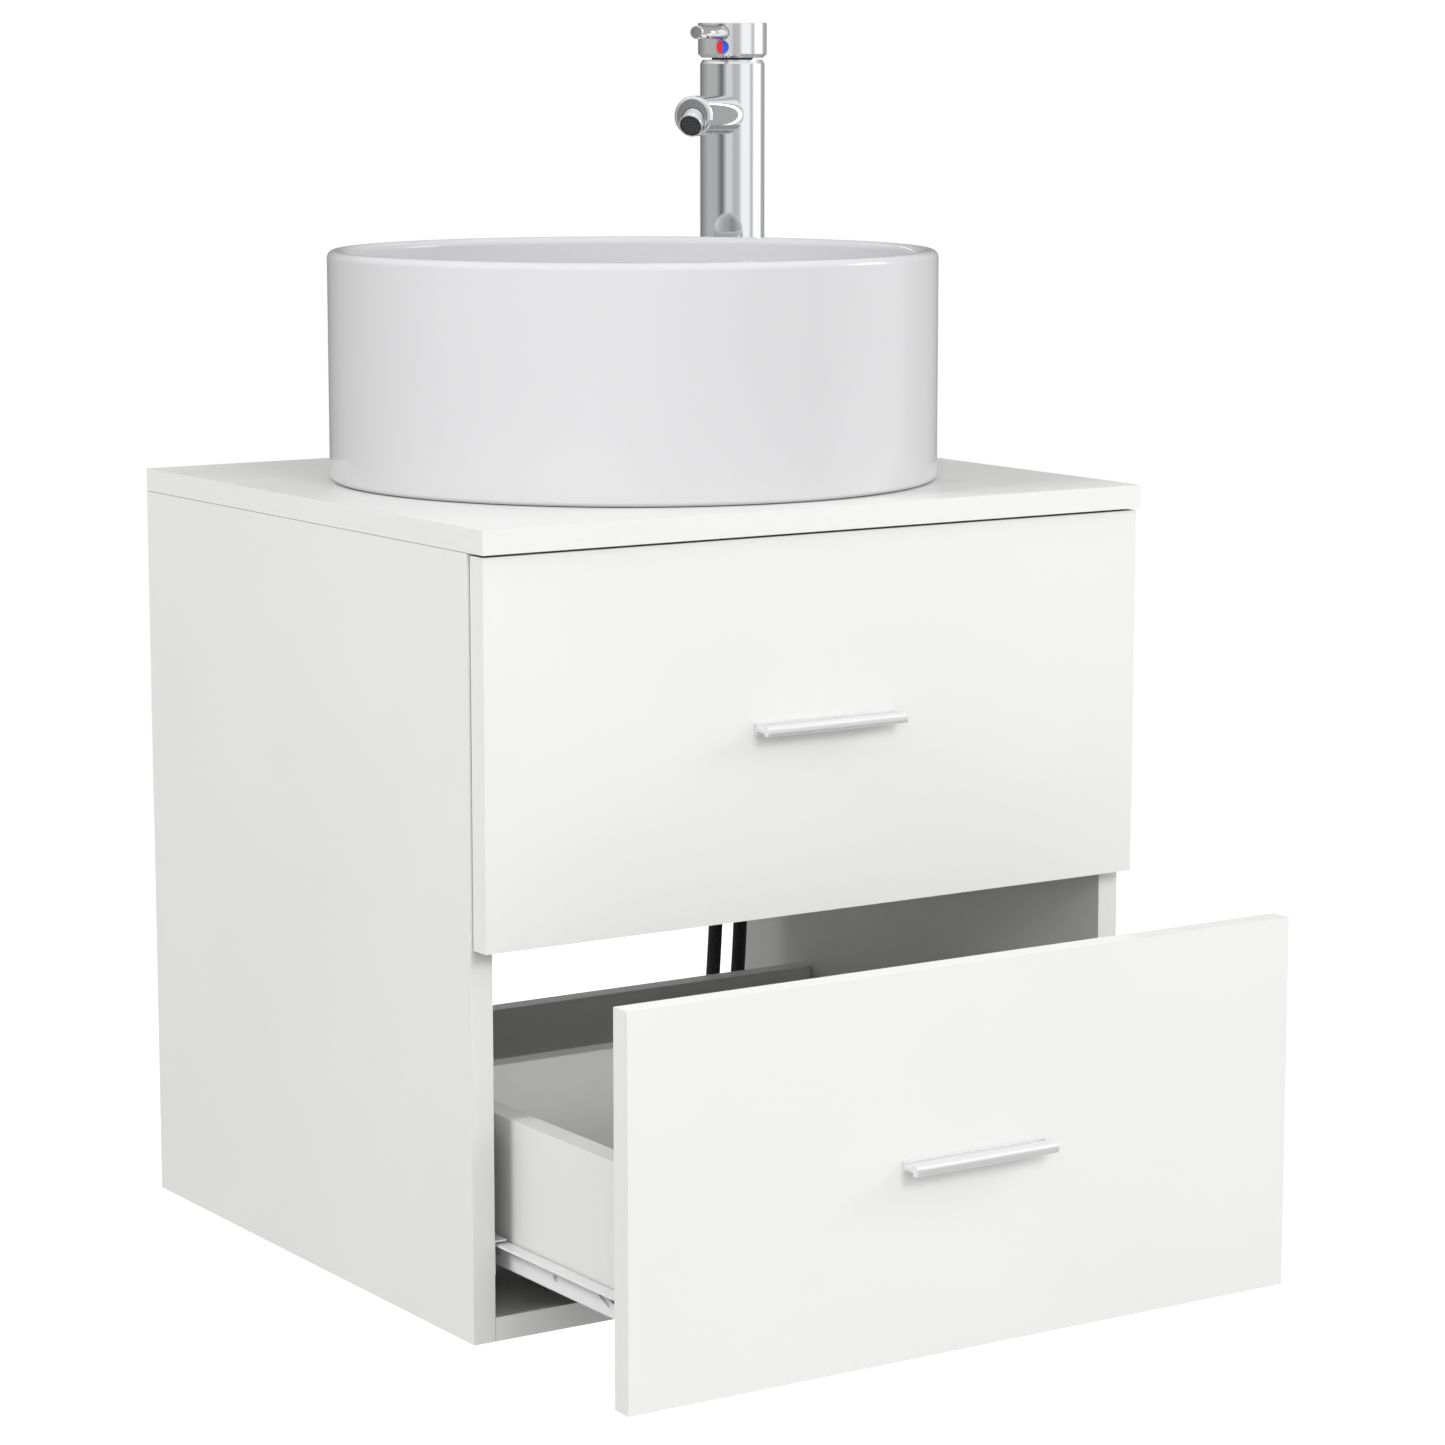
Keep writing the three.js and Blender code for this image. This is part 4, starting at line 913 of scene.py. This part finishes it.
def add_handle(level):
    """Extruded bar: back flange, thin web and a rounded grip."""
    low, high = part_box(f"{level}_handle")
    middle = (low.z + high.z) / 2
    projection = high.y - low.y
    flange = (high.z - low.z) / 2
    flange_thick = 2 * MM
    web = 1 * MM
    bar = 3.2 * MM
    bar_back = projection - 5 * MM
    grip = 2.4 * MM
    soft = 0.6 * MM
    corner = 0.4 * MM
    crease = 0.8 * MM
    half = [
        (0, -flange), *arc(corner, flange_thick - corner, -flange + corner, -90, 0, 3),
        *arc(crease, flange_thick + crease, -web - crease, 180, 90, 4),
        *arc(crease, bar_back - crease, -web - crease, 90, 0, 4),
        *arc(soft, bar_back + soft, -bar + soft, 180, 270, 4),
        *arc(grip, projection - grip, -bar + grip, -90, 0, 8),
    ]
    outline = half + [(x, -y) for x, y in reversed(half)]
    bar3d = soften(prism(outline, low.x, high.x), 0.25 * MM, 2, 60)
    # The outline's first axis becomes -Y and its second Z; the length runs along X.
    turn = Matrix(((0, 0, 1, 0), (-1, 0, 0, high.y), (0, 1, 0, middle), (0, 0, 0, 1)))
    body = f"{level}_drawer"
    piece(f"{level}_handle_bar", moved(bar3d, turn), SATIN, body,
          [f"{level}_handle"], 40)

    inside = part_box(f"{level}_drawer_front")[1].y
    screws = [screw(3.6 * MM, 1.8 * MM) for _ in range(2)]
    spacing = 64 * MM
    placed = [
        moved(bm, at(sign * spacing / 2, inside, middle) @ Matrix.Rotation(-math.pi / 2, 4, "X"))
        for bm, (_, sign) in zip(screws, SIDES)
    ]
    piece(f"{level}_handle_screws", merged(*placed), ZINC, body)


def screw(radius, height):
    """Pan head with a cross recess, standing on z = 0."""
    dome = turned([
        (0, 0), (radius, 0), (radius, height * 0.35), (radius * 0.85, height * 0.75),
        (radius * 0.5, height * 0.96), (0, height),
    ], 32)
    arm = radius * 0.62
    slim = radius * 0.14
    floor = height * 0.35
    return carved(
        dome,
        block((-arm, -slim, floor), (arm, slim, height * 2)),
        block((-slim, -arm, floor), (slim, arm, height * 2)),
    )


def folded_strip(path, thickness, start, end, bend=1.2 * MM):
    """Sheet folded along an (x, z) path with rounded bends, running along Y."""
    outer = []
    for i, point in enumerate(path):
        if 0 < i < len(path) - 1:
            here = Vector(point)
            before = (Vector(path[i - 1]) - here).normalized()
            after = (Vector(path[i + 1]) - here).normalized()
            first, last = here + before * bend, here + after * bend
            steps = 5
            for k in range(steps + 1):
                t = k / steps
                outer.append(first * (1 - t) ** 2 + here * (2 * t * (1 - t)) + last * t ** 2)
        else:
            outer.append(Vector(point))
    left, right = [], []
    for i, point in enumerate(outer):
        ahead = outer[min(i + 1, len(outer) - 1)] - outer[max(i - 1, 0)]
        normal = Vector((-ahead.y, ahead.x)).normalized() * (thickness / 2)
        left.append(point + normal)
        right.append(point - normal)
    strip = prism([tuple(p) for p in left + right[::-1]], start, end)
    return moved(strip, LENGTH_ON_Y)


def hole_x(radius, x, y, z, reach=4 * MM):
    """Round cutter along X through a web at x."""
    return moved(cylinder(radius, -reach, reach, 32), at(x, y, z) @ along_x())


def slot_x(radius, x, y, z, half, reach=4 * MM):
    """Long hole along Y, cut through a web at x."""
    outline = [*arc(radius, half, 0, -90, 90, 8), *arc(radius, -half, 0, 90, 270, 8)]
    return moved(prism(outline, -reach, reach), at(x, y, z) @ LENGTH_ON_X)


SHEET = 1.2 * MM


def screws_on_web(x, side, places):
    """Screw heads on a web's face at x, looking to the side given."""
    return [moved(screw(3.4 * MM, 1.5 * MM), at(x, y, z) @ along_x(side)) for y, z in places]


def axle(length, x, y, z, side):
    """Roller axle on a web's face, with a riveted head."""
    shaft = 2 * MM
    solid = turned([
        (0, 0), (shaft, 0), (shaft, length), (3.6 * MM, length + 0.1 * MM),
        (3.4 * MM, length + 0.8 * MM), (0, length + 1.1 * MM),
    ], 40)
    return moved(solid, at(x, y, z) @ along_x(side))


def pressed_claw(web, front, screw_z, side):
    """Cutter for the claw's opening in a rail's web, and the tongue bent out of it."""
    near = front + 46 * MM
    far = front + 72.5 * MM
    low = screw_z - 4.4 * MM
    outline = [
        (near, low), (near + 13 * MM, low), (far, screw_z + 1 * MM), (far, screw_z + 3.4 * MM),
        (near, screw_z + 3.8 * MM),
    ]
    opening = moved(prism(outline, web - 2 * MM, web + 2 * MM), LENGTH_ON_X)
    half = 0.5 * MM
    hinge = near + 14 * MM
    lean = Matrix.Rotation(side * 0.32, 4, "Z")
    tongue = block((-half, near, screw_z - 4.2 * MM), (half, near + 15 * MM, screw_z + 1.5 * MM))
    return opening, moved(tongue, at(web, hinge, 0) @ lean @ at(0, -hinge, 0))


def add_drawer_rail(level, name, side):
    """Folded rail under a drawer side, with its holes, screws and pressed claw."""
    low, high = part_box(f"{level}_drawer_rail_{name}")
    drawer_low, drawer_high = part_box(f"{level}_drawer_side_{name}")
    face = drawer_high.x if side > 0 else drawer_low.x
    web = face + side * (0.2 * MM + SHEET / 2)
    lip = high.x if side > 0 else low.x
    flange_end = high.y - 20.2 * MM
    foot_width = 11 * MM
    foot = web - side * foot_width
    # The sheet's middle line stays half a sheet inside the rail's box.
    base = low.z + SHEET / 2
    top = high.z - SHEET / 2
    front_part = folded_strip([(foot, base), (web, base), (web, top), (lip, top)], SHEET,
                              low.y, flange_end)
    rear_part = folded_strip([(foot, base), (web, base), (web, high.z)], SHEET, flange_end, high.y)
    screw_z = low.z + 9.7 * MM
    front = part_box(f"{level}_drawer_front")[0].y
    opening, tongue = pressed_claw(web, front, screw_z, side)
    places = [(front + along * MM, screw_z) for along in (121.5, 187.5, 251.5)]
    hole_radius = 2.6 * MM
    holes = [hole_x(hole_radius, web, y, z) for y, z in places]
    front_part = carved(front_part, opening, *holes)
    roller = roller_centre(f"{level}_rear_roller_{name}")
    roller_axle = axle(7.2 * MM, web, high.y - 10 * MM, roller.z, side)
    body = f"{level}_drawer"
    rail = merged(front_part, rear_part, tongue, roller_axle)
    piece(f"{level}_drawer_rail_{name}_folded", rail, WHITE_STEEL, body,
          [f"{level}_drawer_rail_{name}"], 35)
    behind_web = 0.3 * MM
    heads = screws_on_web(face + side * behind_web, side, places)
    piece(f"{level}_drawer_rail_{name}_screws", merged(*heads), SCREW_STEEL, body)


def add_runner(level, name, side):
    """Channel on a side panel with its track, front lobe, axle, holes and screws."""
    low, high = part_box(f"{level}_runner_{name}")
    wall = high.x if side > 0 else low.x
    lip = low.x if side > 0 else high.x
    web = wall - side * SHEET / 2
    base = low.z + SHEET / 2
    top = high.z - SHEET / 2
    roller = roller_centre(f"{level}_front_roller_{name}")
    # The front part is open below for the roller; the track begins behind it.
    track = roller.y + 10.2 * MM
    front_part = folded_strip([(web, low.z), (web, top), (lip, top)], SHEET, low.y, track)
    rear_part = folded_strip([(lip, base), (web, base), (web, top), (lip, top)], SHEET, track, high.y)
    middle = (low.z + high.z) / 2
    places = [(low.y + along * MM, middle) for along in (64, 160, 256)]
    slot_radius, slot_half, past_screw = 2.3 * MM, 4 * MM, 22 * MM
    cutters = [slot_x(slot_radius, web, y + past_screw, z, slot_half) for y, z in places[:2]]
    rear_part = carved(rear_part, *cutters)
    lobe_half = 9 * MM
    lobe_top = low.z + 1.5 * MM
    lobe = [
        *arc(2.2 * MM, roller.y + 1 * MM, low.z - 4.5 * MM, 200, 340, 8),
        (roller.y + lobe_half, lobe_top), (roller.y - lobe_half, lobe_top),
    ]
    lobe = moved(prism(lobe, web - SHEET / 2, web + SHEET / 2), LENGTH_ON_X)
    roller_axle = axle(7 * MM, web, roller.y, roller.z, -side)
    stop_height = 6 * MM
    stop = block((min(wall, lip), high.y - SHEET, low.z),
                 (max(wall, lip), high.y, low.z + stop_height))
    runner = merged(front_part, rear_part, lobe, roller_axle, stop)
    piece(f"{level}_runner_{name}_folded", runner, WHITE_STEEL, "cabinet",
          [f"{level}_runner_{name}"], 35)
    heads = screws_on_web(wall - side * SHEET, -side, places)
    piece(f"{level}_runner_{name}_screws", merged(*heads), SCREW_STEEL, "cabinet")


def roller_centre(node):
    low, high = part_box(node)
    return (low + high) / 2


def add_roller(node):
    """Nylon wheel with a hub, a dished face and a rounded tread."""
    low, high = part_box(node)
    centre = (low + high) / 2
    half = (high.x - low.x) / 2
    radius = (high.z - low.z) / 2
    bore = 2.25 * MM
    round_off = 0.6 * MM
    dish = 0.7 * MM
    outline = [
        (bore, -half), (bore + 2 * MM, -half), (bore + 2.5 * MM, -half + dish),
        (radius - 2 * MM, -half + dish), (radius - 1.5 * MM, -half),
        *arc(round_off, radius - round_off, -half + round_off, -90, 0, 4),
        *arc(round_off, radius - round_off, half - round_off, 0, 90, 4),
        (radius - 1.5 * MM, half), (radius - 2 * MM, half - dish),
        (bore + 2.5 * MM, half - dish), (bore + 2 * MM, half), (bore, half),
    ]
    wheel = moved(turned(outline, 64), Matrix.Translation(centre) @ along_x())
    piece(f"{node}_wheel", wheel, ROLLER_NYLON, node, [node])


def add_bracket(name, side):
    """Corner angle between the hanging rail and a side panel, with its two screws."""
    low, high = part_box(f"hanging_bracket_{name}")
    thick = 2 * MM
    wall = high.x if side > 0 else low.x
    inner = low.x if side > 0 else high.x
    corner = 3 * MM
    web = wall - side * thick / 2
    back = high.y - thick / 2
    path = [(web, low.y), (web, back), (inner, back)]
    # The same swap of Y and Z again stands the strip up along Z.
    strip = moved(folded_strip(path, thick, low.z, high.z, corner), LENGTH_ON_Y)
    middle = (low.z + high.z) / 2
    inset = 12 * MM
    side_screw = at(wall - side * thick, low.y + inset, middle) @ along_x(-side)
    toward_front = Matrix.Rotation(math.pi / 2, 4, "X")
    rail_screw = at(inner + side * inset, high.y - thick, middle) @ toward_front
    heads = [moved(screw(4 * MM, 1.8 * MM), place) for place in (side_screw, rail_screw)]
    piece(f"hanging_bracket_{name}_angle", strip, ZINC, "cabinet",
          [f"hanging_bracket_{name}"], 35)
    piece(f"hanging_bracket_{name}_screws", merged(*heads), ZINC, "cabinet")


# ------------------------------------------------------------------------------ stage

def add_floor():
    size = 6.0
    drop = 1.25
    bm = bmesh.new()
    bmesh.ops.create_circle(bm, cap_ends=True, segments=96, radius=size)
    floor = to_object("studio_floor", moved(bm, at(0, 0, -drop)))
    paint = Finish("studio_floor_paint", 0.9, color=(0.45, 0.45, 0.45))
    paint.shader.inputs["Emission Color"].default_value = (1, 1, 1, 1)
    rays = paint.tree.nodes.new("ShaderNodeLightPath")
    paint.tree.links.new(rays.outputs["Is Camera Ray"], paint.shader.inputs["Emission Strength"])
    floor.data.materials.append(paint.material)


# Brightness round the studio as a polished surface sees it: (azimuth in degrees from +X, value).
STUDIO_BANDS = [
    (-180, 0.40), (-172, 0.30), (-162, 0.14), (-153, 0.35), (-142, 0.72), (-128, 0.70),
    (-117, 0.50), (-100, 0.55), (-88, 1.00), (-63, 1.00), (-49, 0.50), (-37, 1.30),
    (-7, 1.30), (5, 0.45), (29, 0.40), (57, 0.20), (85, 0.20), (109, 0.30), (140, 0.46), (180, 0.46),
]


SOFT_LIGHT = 0.58  # brightness of the even light from all round


def add_world():
    """Soft even light, and a banded studio for what shines."""
    world = bpy.data.worlds.new("studio")
    bpy.context.scene.world = world
    world.use_nodes = True
    tree = world.node_tree
    nodes, links = tree.nodes, tree.links
    background = nodes["Background"]
    place = nodes.new("ShaderNodeTexCoord")
    split = nodes.new("ShaderNodeSeparateXYZ")
    links.new(place.outputs["Generated"], split.inputs[0])
    azimuth = arithmetic(tree, "ARCTAN2", split.outputs["Y"], split.outputs["X"])
    turn = remap(tree, azimuth, -math.pi, math.pi)
    ramp = nodes.new("ShaderNodeValToRGB")
    bands = ramp.color_ramp.elements
    while len(bands) > 1:
        bands.remove(bands[-1])
    for i, (angle, value) in enumerate(STUDIO_BANDS):
        position = (angle + 180) / 360
        band = bands[0] if i == 0 else bands.new(position)
        band.position = position
        band.color = (value, value, value, 1)
    links.new(turn, ramp.inputs["Fac"])
    upward = remap(tree, split.outputs["Z"], 0.25, 0.8)
    shine = mix_colors(tree, upward, ramp.outputs["Color"], (0.9, 0.9, 0.9))
    rays = nodes.new("ShaderNodeLightPath")
    light = mix_colors(tree, rays.outputs["Is Glossy Ray"], (SOFT_LIGHT,) * 3, shine)
    seen = mix_colors(tree, rays.outputs["Is Camera Ray"], light, (1.0, 1.0, 1.0))
    links.new(seen, background.inputs["Color"])


# Softboxes: (name, azimuth from +X in degrees, elevation, size in metres, power in watts).
SOFTBOXES = [
    ("left_softbox", 184, 34, (1.0, 1.2), 70),
    ("right_softbox", -22, 20, (1.2, 1.2), 40),
    ("front_softbox", -108, 12, (3.2, 2.4), 44),
    ("key_softbox", -92, 27, (1.5, 1.1), 40),
]
SOFTBOX_DISTANCE = 4.0
GLINTING = ("right_softbox",)  # the softboxes that show in polished surfaces


def add_light(name, azimuth, elevation, size, power):
    """Softbox aimed at the middle of the countertop, level with the basin."""
    data = bpy.data.lights.new(name, "AREA")
    data.shape = "RECTANGLE"
    data.size, data.size_y = size
    data.energy = power
    light = bpy.data.objects.new(name, data)
    turn, rise = math.radians(azimuth), math.radians(elevation)
    way = Vector((math.cos(turn) * math.cos(rise), math.sin(turn) * math.cos(rise), math.sin(rise)))
    aim = Vector((0, BASIN_CENTRE.y, COUNTER_TOP))
    light.location = aim + way * SOFTBOX_DISTANCE
    light.rotation_euler = way.to_track_quat("Z", "Y").to_euler()
    light.visible_camera = False
    light.visible_glossy = name in GLINTING
    bpy.context.scene.collection.objects.link(light)


def add_lights():
    for softbox in SOFTBOXES:
        add_light(*softbox)


def set_tones():
    scene = bpy.context.scene
    scene.view_settings.view_transform = "Standard"
    scene.cycles.diffuse_bounces = 1


# --------------------------------------------------------------------------- assembly

add_camera()
for hose_side, _ in SIDES:
    add_hose(hose_side, HOSE_BRAID, *add_hose_nut(hose_side))
add_floor()
add_world()
add_lights()
set_tones()

dress_boards()
add_basin()
add_waste_body()
add_waste_plug()
add_waste_gasket()
add_waste_backnut()
add_mixer_body()
add_spout()
add_aerator()
add_cartridge()
add_lever()
add_mixer_fixing()
for level in LEVELS:
    add_handle(level)
    for side_name, sign in SIDES:
        add_drawer_rail(level, side_name, sign)
        add_runner(level, side_name, sign)
        add_roller(f"{level}_front_roller_{side_name}")
        add_roller(f"{level}_rear_roller_{side_name}")
for side_name, sign in SIDES:
    add_bracket(side_name, sign)
